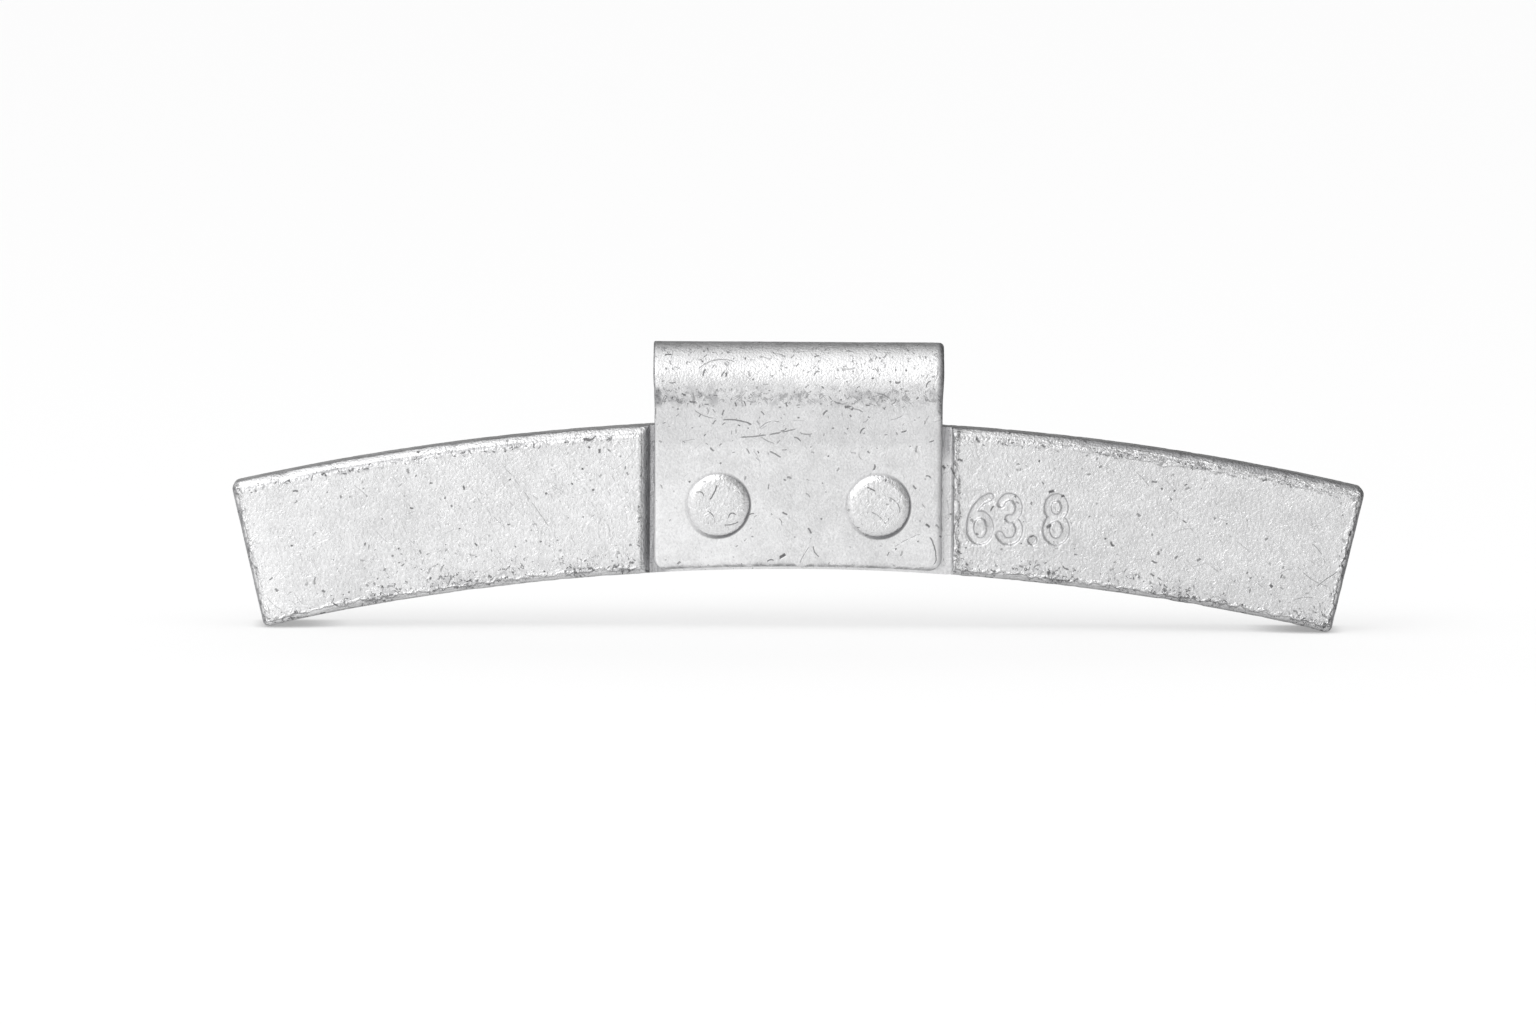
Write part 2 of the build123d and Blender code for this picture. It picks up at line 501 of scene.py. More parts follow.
def bar_section(bar, along, gap):
    """Depth and height of each point of the section, for each station, and the length round
    the section at each point, measured on the whole bar from its lower front edge."""
    sunk = clip_depth() - channel_rise(bar, along)
    inset = end_inset(gap, bar.end)
    front_inset = inset + bar.pillow * np.clip(1 - gap / PILLOW_REACH, 0, 1) ** 2
    front = bar.front + sunk + front_inset
    back = bar.back - inset
    low = inset - bar.toe * np.clip(1 - gap / TOE_REACH, 0, 1) ** 2
    high = bar.height - inset
    front_edge = np.maximum(bar.edge - sunk - front_inset, TINY)
    top_edge = np.maximum(bar.top_edge - sunk - front_inset, TINY)
    shoulder = np.maximum(bar.shoulder - inset, TINY)
    back_edge = np.maximum(bar.edge - inset, TINY)

    def arc(depth, height, radius, start, end, count, flatness=1.0):
        points = []
        for turn in np.radians(np.linspace(start, end, count)):
            out, up = math.cos(turn), math.sin(turn)
            points.append((depth + radius * math.copysign(abs(out) ** flatness, out),
                           height + radius * math.copysign(abs(up) ** flatness, up)))
        return points

    def flat(first, last, count):
        return [(first[0] + (last[0] - first[0]) * share, first[1] + (last[1] - first[1]) * share)
                for share in np.linspace(0, 1, count + 2)[1:-1]]

    count = SECTION_COUNTS
    front_low = arc(front + front_edge, low + front_edge, front_edge, 270, 180, count["front_low"])
    front_high = arc(front + top_edge, high - top_edge, top_edge, 180, 90,
                     count["front_high"], EDGE_FLATNESS)
    over = arc(back - shoulder, high - shoulder, shoulder, 90, 0, count["shoulder"])
    back_low = arc(back - back_edge, low + back_edge, back_edge, 0, -90, count["back_low"])
    columns = (
        front_low + flat(front_low[-1], front_high[0], count["front"])
        + front_high + flat(front_high[-1], over[0], count["top"])
        + over + flat(over[-1], back_low[0], count["back"])
        + back_low + flat(back_low[-1], front_low[0], count["bottom"])
    )
    depth = np.stack([column[0] for column in columns], 1)
    height = np.stack([column[1] for column in columns], 1)
    whole = len(along) * 3 // 4
    return depth, height, length_round(depth[whole], height[whole]) - bar.edge * math.pi / 4


def along_rim(bar, along, height):
    """Places of points at these distances along the bar and heights above its inner curve.
    Stations stand upright at the channel and point to the wheel's centre on the arms."""
    centre_line = middle_radius(bar)
    angle = along / centre_line
    lean = angle * smooth_step(np.abs(along), LEAN_FROM, LEAN_TO)
    start = np.stack((np.sin(angle), np.cos(angle)), -1) * centre_line
    way = np.stack((np.sin(lean), np.cos(lean)), -1)
    reach = (start * way).sum(-1)[:, None]
    radius = bar.outer_radius - bar.height + height
    travel = np.sqrt(reach ** 2 - centre_line ** 2 + radius ** 2) - reach
    x = start[:, :1] + travel * way[:, :1]
    z = wheel_centre_z(bar) + start[:, 1:] + travel * way[:, 1:]
    return x, z


def bar_skin(bar):
    """The bar with its channel and rounded ends, as one closed mesh."""
    along, gap = bar_stations(bar)
    depth, height, around = bar_section(bar, along, gap)
    x, z = along_rim(bar, along, height)
    places = np.stack((x, depth, z), -1)
    rows, columns = depth.shape
    unrolled = np.stack(np.meshgrid(along, around, indexing="ij"), -1) / MM
    faces = list(quad_rows(rows, columns))
    patterns = list(quad_unrolled(unrolled))
    points = places.reshape(-1, 3)
    for row in (0, rows - 1):
        ring = np.arange(columns) + row * columns
        centre = places[row].mean(0)
        for step in range(1, CAP_RINGS):
            inner = np.arange(columns) + len(points)
            points = np.vstack((points, centre + (places[row] - centre) * (1 - step / CAP_RINGS)))
            faces += zip(ring, inner, np.roll(inner, -1), np.roll(ring, -1))
            ring = inner
        faces += zip(ring, [len(points)] * columns, np.roll(ring, -1))
        points = np.vstack((points, centre))
    for face in faces[len(patterns):]:
        patterns.append(points[list(face)][:, 1:] / MM + (CAP_PATCH, 0))
    return mesh_from("weight_bar", points, faces, patterns)


# Strokes of the stamped figure, on a digit that is 1 wide and 2 high, with its foot at 0:
# middle across, middle up, half width, half height, and the turn in degrees from start to end
DIGITS = {
    "6": ((0.5, 0.6, 0.5, 0.6, 0, 360), (1.35, 0.6, 1.35, 1.45, 180, 106)),
    "3": ((0.48, 1.5, 0.46, 0.5, 160, -90), (0.45, 0.52, 0.52, 0.52, 90, -155)),
    "8": ((0.5, 0.54, 0.5, 0.54, 0, 360), (0.5, 1.53, 0.43, 0.47, 0, 360)),
    ".": ((0.15, 0.06, 0.05, 0.05, 0, 360),),
}
FIGURE = "63.8"
DIGIT_GAP = 0.44
DIGIT_WIDTH = 0.88
POINT_WIDTH = 0.3

# Form of a stroke: the width of its walls, and the place, width and height of the low lip beside
# it, as shares of the stroke's width and depth, and how its depth varies
STROKE_WALL = 0.36
STROKE_LIP_PLACE = 0.78
STROKE_LIP_WIDTH = 0.2
STROKE_LIP_HEIGHT = 0.06
STROKE_DEPTH = 0.8
STROKE_DEPTH_CHANGE = 0.35


def figure_strokes(figure):
    """Points along the strokes of the figure, in its own place on the front."""
    unit = figure.height / 2
    widths = [POINT_WIDTH if digit == "." else DIGIT_WIDTH for digit in FIGURE]
    left = -(sum(widths) + DIGIT_GAP * (len(FIGURE) - 1)) / 2
    strokes = []
    for digit, width in zip(FIGURE, widths):
        for across, up, half_width, half_height, start, end in DIGITS[digit]:
            turn = np.radians(np.linspace(start, end, STROKE_POINTS))
            x = left + DIGIT_WIDTH * (across + half_width * np.cos(turn))
            z = up + half_height * np.sin(turn) - 1
            strokes.append(np.stack((x, z), -1) * unit + np.array(figure.middle))
        left += width + DIGIT_GAP
    return strokes


def distance_to(strokes, spots):
    """Distance from each spot to the nearest stroke."""
    nearest = np.full(len(spots), np.inf)
    for stroke in strokes:
        for start, end in zip(stroke[:-1], stroke[1:]):
            run = end - start
            share = np.clip(((spots - start) @ run) / max(run @ run, NO_LENGTH), 0, 1)
            gap = spots - start - share[:, None] * run
            nearest = np.minimum(nearest, np.hypot(gap[:, 0], gap[:, 1]))
    return nearest


def stamp_figure(obj, bar, figure):
    """Divides the front round the figure and presses the figure into it."""
    strokes = figure_strokes(figure)
    spread = np.vstack(strokes)
    low = spread.min(0) - figure.stroke
    high = spread.max(0) + figure.stroke
    face_y = bar.front + TINY

    def divide(shape):
        chosen = set()
        for face in shape.faces:
            middle = face.calc_center_median()
            inside = low[0] < middle.x < high[0] and low[1] < middle.z < high[1]
            if inside and middle.y < face_y:
                chosen.update(face.edges)
        bmesh.ops.subdivide_edges(
            shape, edges=list(chosen), cuts=FIGURE_CUTS, use_grid_fill=True)

    with_bmesh(obj.data, divide)
    places = mesh_places(obj.data)
    near = (places[:, 1] < face_y) & (places[:, [0, 2]] > low).all(1)
    near &= (places[:, [0, 2]] < high).all(1)
    spots = np.flatnonzero(near)
    gap = distance_to(strokes, places[spots][:, [0, 2]])
    wall = STROKE_WALL * figure.stroke
    pressed = smooth_step(gap, figure.stroke / 2 + wall / 2, figure.stroke / 2 - wall / 2)
    lip = np.exp(-((gap / figure.stroke - STROKE_LIP_PLACE) / STROKE_LIP_WIDTH) ** 2)
    uneven = STROKE_DEPTH + STROKE_DEPTH_CHANGE * ripple(places[spots], "figure")
    places[spots, 1] += figure.depth * (pressed * uneven - STROKE_LIP_HEIGHT * lip)
    set_places(obj.data, places)


def batter(obj, rolling, grain, dent):
    """Gives a skin its slight waves and grain, and nicks along its sharp edges."""
    mesh = obj.data
    places = mesh_places(mesh)
    normals = mesh_normals(mesh)
    shift = rolling * ripple(places, "rolling")
    shift += grain * ripple(places, "grain")
    if dent:
        nick = np.clip(ripple(places, "nick") - NICK_LIMIT, 0, 1)
        nick += CHIP_SHARE * np.clip(ripple(places, "chip") - CHIP_LIMIT, 0, 1)
        shift -= dent * edge_sharpness(mesh) * nick
    set_places(mesh, places + normals * shift[:, None])


def edge_sharpness(mesh):
    """For each point, 0 on flat skin and 1 on an edge, from how its faces turn."""
    turn = np.zeros(len(mesh.vertices))

    def measure(shape):
        shape.edges.ensure_lookup_table()
        for edge in shape.edges:
            if len(edge.link_faces) == 2:
                bend = edge.calc_face_angle_signed(0) / max(edge.calc_length(), TINY)
                for vertex in edge.verts:
                    turn[vertex.index] = max(turn[vertex.index], bend)

    with_bmesh(mesh, measure)
    return smooth_step(turn * MM, *EDGE_TURN)


def stud_profile(bar, stud):
    """Radius and depth along a stud, from inside the bar to the middle of its face."""
    root = bar.front + clip_depth() + STUD_ROOT
    face = bar.front - stud.rise
    shank, head, top = stud.shank / 2, stud.head / 2, stud.face / 2
    profile = [(0, root), (shank, root), (shank, bar.front), (head - STUD_UNDERCUT, bar.front)]
    for share in np.linspace(0, 1, STUD_FLANK_RINGS):
        swell = STUD_SWELL * math.sin(math.pi * share)
        profile.append((head + (top - head) * share + swell,
                        bar.front - TINY - (stud.rise - TINY - STUD_DOME) * share))
    for share in np.linspace(*STUD_FACE_SHARES, STUD_FACE_RINGS):
        profile.append((top * share, face + STUD_DOME * share ** STUD_DOME_POWER))
    profile.append((0, face))
    return profile


def stud_wobble(number):
    """A function that says how far a stud's outline strays from round at each angle."""
    def wobble(angles):
        oval = STUD_OVAL * np.sin(2 * angles + number)
        return 1 + oval + STUD_LOBES * np.sin(5 * angles - number)

    return wobble


def pocket_profile(bar, stud):
    """Radius and depth along the punch that leaves a pocket in the back."""
    bottom = bar.back - stud.pocket_depth
    radius = stud.pocket / 2
    mouth = radius + POCKET_BEVEL
    outside = bar.back + POCKET_BEVEL
    return [(0, bottom), (radius - POCKET_BEVEL, bottom), (radius, bottom + POCKET_BEVEL),
            (radius, bar.back - POCKET_BEVEL), (mouth, bar.back + POCKET_BEVEL / 4),
            (mouth, outside), (0, outside)]


def stud_places(bar, stud):
    """Where the two studs stand, across and up."""
    return [(side * stud.spacing / 2, bar.top - stud.drop) for side in (-1, 1)]


# Clip

def clip_heading(clip, leg):
    """Lengths along the clip where its bends start and end, with the way it points there."""
    middle = clip.hook + clip.thickness / 2
    runs = (
        (leg, 0),
        (math.pi * middle, -math.pi),
        ((clip.tail_bend + clip.thickness / 2) * clip.tail_flare, clip.tail_flare),
        (clip.tail, 0),
    )
    lengths, headings = [0.0], [math.pi / 2]
    for length, turn in runs:
        lengths.append(lengths[-1] + length)
        headings.append(headings[-1] + turn)
    return lengths, headings


def clip_rows(lengths, clip):
    """Distances along the strip where its section is drawn."""
    foot = clip.corner * (1 - np.cos(np.linspace(0, math.pi / 2, CLIP_END_ROWS)))
    leg_end, hook_end, total = lengths[1], lengths[2], lengths[-1]
    return np.concatenate((
        foot[:-1],
        np.arange(clip.corner, leg_end, LEG_STEP),
        np.arange(leg_end, hook_end, HOOK_STEP),
        np.arange(hook_end, total - clip.corner, LEG_STEP),
        (total - foot)[::-1],
    ))


def clip_skin(bar, clip):
    """The bent strip as one closed mesh, with its foot arched along the bar."""
    foot_radius = clip_foot_radius(bar, clip)
    foot_z = wheel_centre_z(bar) + foot_radius
    lengths, headings = clip_heading(clip, -foot_z)
    rows = clip_rows(lengths, clip)
    total = lengths[-1]

    fine = np.linspace(0, total, CLIP_LINE_POINTS)
    heading = np.interp(fine, lengths, headings)
    midway = (heading[1:] + heading[:-1]) / 2
    depth, height = (
        start + np.concatenate(([0], np.cumsum(part(midway) * fine[1])))
        for start, part in ((bar.front + clip.thickness / 2, np.cos), (foot_z, np.sin)))
    row_depth, row_height, row_heading = (
        np.interp(rows, fine, line) for line in (depth, height, heading))

    gap = np.minimum(rows, total - rows)
    half_width = clip.width / 2 - end_inset(gap, clip.corner)
    bend = smooth_step(rows, lengths[1] - HOOK_BLEND, lengths[1] + HOOK_BLEND)
    bend *= smooth_step(rows, lengths[2] + HOOK_BLEND, lengths[2] - HOOK_BLEND)
    half_width = half_width + clip.bulge * bend
    half_thick = clip.thickness / 2 - end_inset(gap, clip.edge)
    edge = np.minimum(clip.edge, half_thick * EDGE_SHARE)
    rolled = np.minimum(clip.rolled_edge, half_thick * EDGE_SHARE)

    across, outward = [], []
    shares = np.linspace(0, 1, CLIP_COLUMNS + 1)
    turns = np.radians(np.linspace(90, -90, 2 * CLIP_EDGE_COLUMNS + 2))[1:-1]

    def add_edge(side, front_edge, order):
        for turn in order:
            radius = front_edge if turn > 0 else edge
            across.append(side * (half_width - radius + radius * math.cos(turn)))
            outward.append(np.sign(turn) * (half_thick - radius) + radius * math.sin(turn))

    def add_face(start, end, side):
        for share in shares:
            across.append(start + (end - start) * share)
            outward.append(side * half_thick)

    add_face(edge - half_width, half_width - rolled, 1)
    add_edge(1, rolled, turns)
    add_face(half_width - edge, edge - half_width, -1)
    add_edge(-1, edge, turns[::-1])
    across = np.stack(across, 1)
    outward = np.stack(outward, 1)
    columns = across.shape[1]

    arch = np.sqrt(foot_radius ** 2 - across ** 2) - foot_radius
    arch *= (1 - smooth_step(rows, 0, ARCH_REACH))[:, None]
    y = row_depth[:, None] - np.sin(row_heading)[:, None] * outward
    z = row_height[:, None] + np.cos(row_heading)[:, None] * outward + arch
    places = np.stack((across, y, z), -1)

    middle_row = len(rows) // 4
    around = length_round(across[middle_row], outward[middle_row]) - clip.width / 2 + clip.edge
    unrolled = np.stack(np.meshgrid(rows, around, indexing="ij")[::-1], -1) / MM
    faces = list(quad_rows(len(rows), columns))
    patterns = list(quad_unrolled(unrolled))
    points = places.reshape(-1, 3)
    back = CLIP_COLUMNS + 1 + 2 * CLIP_EDGE_COLUMNS
    for row in (0, len(rows) - 1):
        start = row * columns
        for column in range(CLIP_COLUMNS):
            other = start + back + CLIP_COLUMNS - column
            faces.append((start + column, start + column + 1, other - 1, other))
        faces.append(start + np.arange(CLIP_COLUMNS, back + 1))
        faces.append(start + np.append(np.arange(back + CLIP_COLUMNS, columns), 0))
    for face in faces[len(patterns):]:
        patterns.append(points[list(face)][:, :2] / MM + (CAP_PATCH, 0))
    return mesh_from("clip_strip", points, faces, patterns)


# Node helpers

class Wiring:
    """Adds nodes to one tree. An input is given as a value or as the socket that feeds it."""

    def __init__(self, tree):
        self.tree = tree

    def add(self, kind, inputs=(), **settings):
        """A new node with these inputs and settings."""
        node = self.tree.nodes.new(kind)
        for name, value in settings.items():
            setattr(node, name, value)
        for name, value in dict(inputs).items():
            self.feed(node.inputs[name], value)
        return node

    def feed(self, socket, value):
        """Links a socket to an input, or sets its value."""
        if isinstance(value, bpy.types.NodeSocket):
            self.tree.links.new(value, socket)
        else:
            socket.default_value = value

    def math(self, operation, *values, clamp=False):
        """The outcome of one operation on numbers."""
        node = self.add("ShaderNodeMath", operation=operation, use_clamp=clamp)
        for socket, value in zip(node.inputs, values):
            self.feed(socket, value)
        return node.outputs[0]

    def times(self, *values):
        """The product of several values."""
        product = values[0]
        for value in values[1:]:
            product = self.math("MULTIPLY", product, value)
        return product

    def plus(self, value, factor, rest):
        """A value times a factor, added to the rest."""
        return self.math("MULTIPLY_ADD", value, factor, rest)

    def sum(self, first, second):
        """Two values added up."""
        return self.math("ADD", first, second)

    def minus(self, first, second):
        """The first value less the second."""
        return self.math("SUBTRACT", first, second)

    def size(self, value):
        """A value without its sign."""
        return self.math("ABSOLUTE", value)

    def vector(self, operation, *values, scale=None):
        """The outcome of one operation on vectors."""
        node = self.add("ShaderNodeVectorMath", operation=operation)
        for socket, value in zip(node.inputs, values):
            self.feed(socket, value)
        if scale is not None:
            self.feed(node.inputs["Scale"], scale)
        single = operation in ("DOT_PRODUCT", "LENGTH", "DISTANCE")
        return node.outputs["Value" if single else "Vector"]

    def fade(self, value, start, end, low=0.0, high=1.0):
        """Goes smoothly from low, where the value is at start, to high, where it is at end."""
        node = self.add(
            "ShaderNodeMapRange",
            {"Value": value, "From Min": start, "From Max": end, "To Min": low, "To Max": high},
            interpolation_type="SMOOTHSTEP")
        return node.outputs["Result"]

    def between(self, value, start, end, soft):
        """1 where the value is between start and end, with soft limits."""
        rise = self.fade(value, start - soft, start + soft)
        fall = self.fade(value, end + soft, end - soft)
        return self.times(rise, fall)

    def most(self, *masks):
        """The strongest of several masks."""
        strongest = masks[0]
        for mask in masks[1:]:
            strongest = self.math("MAXIMUM", strongest, mask)
        return strongest

    def parts(self, vector):
        """The three parts of a vector."""
        node = self.add("ShaderNodeSeparateXYZ", {"Vector": vector})
        return node.outputs["X"], node.outputs["Y"], node.outputs["Z"]

    def noise(self, vector, size, detail=2.0, roughness=0.5, distortion=0.0):
        """Cloudy noise about 0.5, with features of this size."""
        node = self.add(
            "ShaderNodeTexNoise",
            {"Vector": vector, "Scale": 1 / size, "Detail": detail, "Roughness": roughness,
             "Distortion": distortion})
        return node.outputs["Fac"]

    def mix(self, share, first, second, blend="MIX"):
        """The first colour, blended with a share of the second."""
        node = self.add("ShaderNodeMix", {"Factor": share, "A": first, "B": second},
                        data_type="RGBA", blend_type=blend)
        return node.outputs["Result"]

    def group(self, tree, **inputs):
        """Outputs of a node group that has these inputs."""
        node = self.add("ShaderNodeGroup", node_tree=tree)
        for name, value in inputs.items():
            self.feed(node.inputs[name.replace("_", " ").capitalize()], value)
        return node.outputs


def shader_group(name, inputs, outputs):
    """An empty shader node group with a place and other named sockets: its wiring, what it is
    given, and the sockets that it puts out."""
    tree = bpy.data.node_groups.new(name, "ShaderNodeTree")
    for label, default in {"Vector": ORIGIN, **inputs}.items():
        kind = "NodeSocketVector" if isinstance(default, tuple) else "NodeSocketFloat"
        socket = tree.interface.new_socket(name=label, in_out="INPUT", socket_type=kind)
        socket.default_value = default
    for label in outputs:
        tree.interface.new_socket(name=label, in_out="OUTPUT", socket_type="NodeSocketFloat")
    wiring = Wiring(tree)
    return wiring, wiring.add("NodeGroupInput").outputs, wiring.add("NodeGroupOutput").inputs


def shared_group(name, build):
    """The node group of this name, built the first time that it is asked for."""
    return bpy.data.node_groups.get(name) or build(name)


def build_grain(name):
    """Grain of the zinc coat: a fine peel, curly raised lines with painted light and shade on their
    two sides, and changes of tone.
    """
    wire, given, out = shader_group(
        name, {"Grain size": 0.3, "Curl amount": 0.22}, ("Height", "Tone", "Dullness"))
    place = given["Vector"]
    sized = wire.vector("DIVIDE", place, given["Grain size"])
    peel = wire.noise(sized, 1.0, detail=2.0, roughness=0.6)
    ridge = wire.minus(wire.noise(sized, 3.6, detail=2.0, distortion=1.0), 0.5)
    line = wire.fade(wire.size(ridge), 0.07, 0.0)
    breaks = wire.fade(wire.noise(sized, 4.6), 0.5, 0.62)
    curl = wire.times(line, breaks, given["Curl amount"])
    wire.feed(out["Height"], wire.sum(curl, peel))
    # Painted highlight on one side of each curly line and painted shade on the other
    lit = wire.times(curl, wire.plus(ridge, 8.0, 0.08))
    broad = wire.noise(place, 8.0, detail=3.0)
    cloud = wire.noise(place, 1.6, detail=4.0, roughness=0.65)
    speck = wire.noise(sized, 1.0, detail=2.0, roughness=0.7)
    tone = wire.plus(speck, 0.43, wire.plus(broad, 0.3, wire.times(cloud, 0.27)))
    wire.feed(out["Tone"], wire.sum(tone, lit))
    wire.feed(out["Dullness"], wire.plus(peel, 0.5, wire.times(cloud, 0.5)))
    return wire.tree


def build_strays(name):
    """Short bowed lines of all sizes that point every way, one to a cell, in some of the cells."""
    wire, given, out = shader_group(
        name, {"Spacing": 2.0, "Length": 0.8, "Width": 0.1, "Bow": 0.3, "Share": 0.4}, ("Mask",))
    scaled = wire.vector("DIVIDE", given["Vector"], given["Spacing"])
    cells = wire.add("ShaderNodeTexVoronoi", {"Vector": scaled, "Scale": 1.0},
                     voronoi_dimensions="2D").outputs
    local = wire.vector("MULTIPLY", wire.vector("SUBTRACT", scaled, cells["Position"]),
                        given["Spacing"])
    chance = wire.add("ShaderNodeSeparateColor", {"Color": cells["Color"]}).outputs
    turned_to = wire.add(
        "ShaderNodeVectorRotate",
        {"Vector": local, "Angle": wire.times(chance["Red"], 2 * math.pi)},
        rotation_type="Z_AXIS").outputs["Vector"]
    along, across, _ = wire.parts(turned_to)
    curve = wire.times(wire.minus(chance["Green"], 0.5), given["Bow"])
    bowed = wire.plus(wire.times(along, along), curve, across)
    ragged = wire.plus(wire.noise(given["Vector"], 0.16, detail=3.0), 2.2, -0.1)
    size = wire.plus(wire.times(chance["Green"], chance["Green"]), 0.8, 0.2)
    half = wire.times(given["Length"], size, 0.5)
    ends = wire.fade(wire.size(along), half, wire.times(half, 0.6))
    other = wire.math("FRACT", wire.times(chance["Red"], 17.0))
    thick = wire.plus(other, 0.35, 0.2)
    half_width = wire.times(given["Width"], thick, ragged)
    sides = wire.fade(wire.size(bowed), half_width, wire.times(half_width, 0.5))
    chosen = wire.math("LESS_THAN", chance["Blue"], given["Share"])
    another = wire.math("FRACT", wire.times(chance["Green"], 23.0))
    depth = wire.plus(another, 0.6, 0.4)
    wire.feed(out["Mask"], wire.times(ends, sides, chosen, depth))
    return wire.tree


def build_flecks(name):
    """Ragged flecks that close up as the amount goes from 0 to 1, and the thin broken lines
    round them, as where a coat has flaked."""
    wire, given, out = shader_group(name, {"Amount": 0.5, "Size": 0.5}, ("Mask", "Lines"))
    scaled = wire.vector("DIVIDE", given["Vector"], given["Size"])
    ragged = wire.noise(scaled, 1.0, detail=5.0, roughness=0.68, distortion=0.6)
    limit = wire.plus(given["Amount"], -0.3, 0.72)
    wire.feed(out["Mask"], wire.fade(ragged, limit, wire.sum(limit, 0.05)))
    field = wire.noise(scaled, 1.7, detail=4.0, roughness=0.6)
    line = wire.fade(wire.size(wire.minus(field, 0.5)), 0.03, 0.012)
    gaps = wire.plus(given["Amount"], -0.3, 0.7)
    breaks = wire.fade(wire.noise(scaled, 0.9, detail=1.0), gaps, wire.sum(gaps, 0.1))
    wire.feed(out["Lines"], wire.times(line, breaks))
    return wire.tree


def build_scratch(name):
    """Adds one bowed scratch between two places, broken along its length, to those before it."""
    wire, given, out = shader_group(
        name, {"Start": ORIGIN, "End": (1.0, 0.0, 0.0), "Bow": 0.0, "Width": 0.1, "Breaks": 0.5,
               "Strength": 1.0, "Shiver": 0.0, "Gaps": 0.5, "Before": 0.0}, ("Mask",))
    run = wire.vector("SUBTRACT", given["End"], given["Start"])
    away = wire.vector("SUBTRACT", given["Vector"], given["Start"])
    length = wire.vector("LENGTH", run)
    share = wire.math("DIVIDE", wire.vector("DOT_PRODUCT", away, run), wire.times(length, length))
    square_to_run = wire.vector("CROSS_PRODUCT", (0.0, 0.0, 1.0), run)
    side = wire.vector("DOT_PRODUCT", away, square_to_run)
    across = wire.sum(wire.math("DIVIDE", side, length), given["Shiver"])
    arch = wire.times(share, wire.minus(1.0, share), 4.0)
    bowed = wire.minus(across, wire.times(arch, given["Bow"]))
    half_width = wire.times(given["Width"], 0.6)
    sides = wire.fade(wire.size(bowed), half_width, wire.times(half_width, 0.5))
    ends = wire.times(wire.fade(share, 0.0, 0.06), wire.fade(share, 1.0, 0.94))
    limit = wire.times(given["Breaks"], 0.6)
    broken = wire.fade(given["Gaps"], limit, wire.sum(limit, 0.12))
    mask = wire.times(sides, ends, broken, given["Strength"])
    wire.feed(out["Mask"], wire.math("MAXIMUM", mask, given["Before"]))
    return wire.tree


def pattern_places(wire):
    """Unrolled and solid coordinates on a piece, both in millimetres."""
    flat = wire.add("ShaderNodeUVMap", uv_map=UNROLLED).outputs["UV"]
    solid = wire.add("ShaderNodeTexCoord").outputs["Object"]
    return flat, wire.vector("SCALE", solid, scale=1 / MM)


def drawn_scratches(wire, place, scratches):
    """A list of scratches: start, end, bow, width, breaks and strength of each."""
    group = shared_group("drawn_scratch", build_scratch)
    shiver = wire.plus(wire.noise(place, 0.4), 0.12, -0.06)
    gaps = wire.noise(place, 0.7)
    mask = 0.0
    for start, end, bow, width, breaks, strength in scratches:
        mask = wire.group(group, vector=place, start=(*start, 0.0), end=(*end, 0.0), bow=bow,
                          width=width, breaks=breaks, strength=strength, shiver=shiver, gaps=gaps,
                          before=mask)["Mask"]
    return mask


# Scratches that stand out, in millimetres. On the bar they are placed by x and z, on the clip by
# distance across and up the strip, and on the studs by x and z from each stud's middle.
BAR_SCRATCHES = (
    ((-26.0, -6.2), (-20.8, -13.3), 0.15, 0.06, 0.7, 0.36),
    ((-28.6, -8.4), (-24.9, -12.6), -0.2, 0.06, 0.74, 0.28),
    ((45.1, -16.9), (46.9, -15.6), 0.05, 0.1, 0.1, 0.6),
    ((43.4, -15.1), (46.2, -16.9), -0.3, 0.07, 0.62, 0.45),
    ((41.0, -17.0), (43.1, -15.3), 0.4, 0.08, 0.66, 0.5),
    ((44.6, -13.1), (45.8, -14.9), 0.2, 0.07, 0.6, 0.45),
    ((42.6, -18.4), (44.9, -17.9), 0.25, 0.08, 0.64, 0.5),
    ((-14.1, -5.2), (-15.9, -7.0), 0.1, 0.08, 0.2, 0.35),
)
CLIP_SCRATCHES = (
    ((-6.7, 12.75), (-4.0, 12.35), 0.2, 0.13, 0.5, 0.75),
    ((-5.15, 11.25), (-0.1, 12.05), -0.15, 0.11, 0.5, 0.75),
    ((0.1, 11.7), (1.2, 11.6), -0.1, 0.1, 0.3, 0.6),
    ((-2.5, 10.05), (-1.5, 9.5), 0.05, 0.13, 0.3, 0.7),
    ((4.1, 14.0), (4.75, 13.75), 0.05, 0.3, 0.45, 0.8),
    ((4.7, 13.8), (5.6, 13.5), 0.08, 0.1, 0.4, 0.55),
    ((11.45, 2.9), (11.95, 0.5), 0.25, 0.12, 0.3, 0.75),
    ((0.2, 0.3), (1.05, 1.75), 0.1, 0.08, 0.5, 0.55),
    ((1.35, 1.85), (1.9, 0.85), -0.15, 0.1, 0.4, 0.65),
    ((-1.75, 0.65), (-1.05, 1.1), 0.0, 0.3, 0.62, 0.9),
    ((-2.7, 0.45), (-2.1, 0.55), 0.1, 0.14, 0.4, 0.8),
    ((8.4, 1.9), (10.7, 3.1), 0.1, 0.07, 0.6, 0.5),
    ((-9.0, 13.6), (-6.6, 12.9), -0.25, 0.08, 0.6, 0.5),
    ((-8.6, 17.0), (-5.4, 17.6), 0.5, 0.09, 0.5, 0.5),
    ((-3.4, 12.0), (-1.6, 12.6), 0.3, 0.09, 0.6, 0.55),
    ((-0.4, 11.3), (0.2, 10.9), 0.1, 0.12, 0.2, 0.7),
    ((0.9, 3.4), (1.2, 2.9), 0.0, 0.14, 0.2, 0.75),
    ((-4.5, 10.3), (-4.25, 9.8), 0.05, 0.1, 0.2, 0.6),
    ((6.5, 15.2), (8.2, 14.4), 0.2, 0.1, 0.62, 0.55),
    ((2.6, 14.9), (4.0, 14.2), -0.2, 0.1, 0.6, 0.6),
)
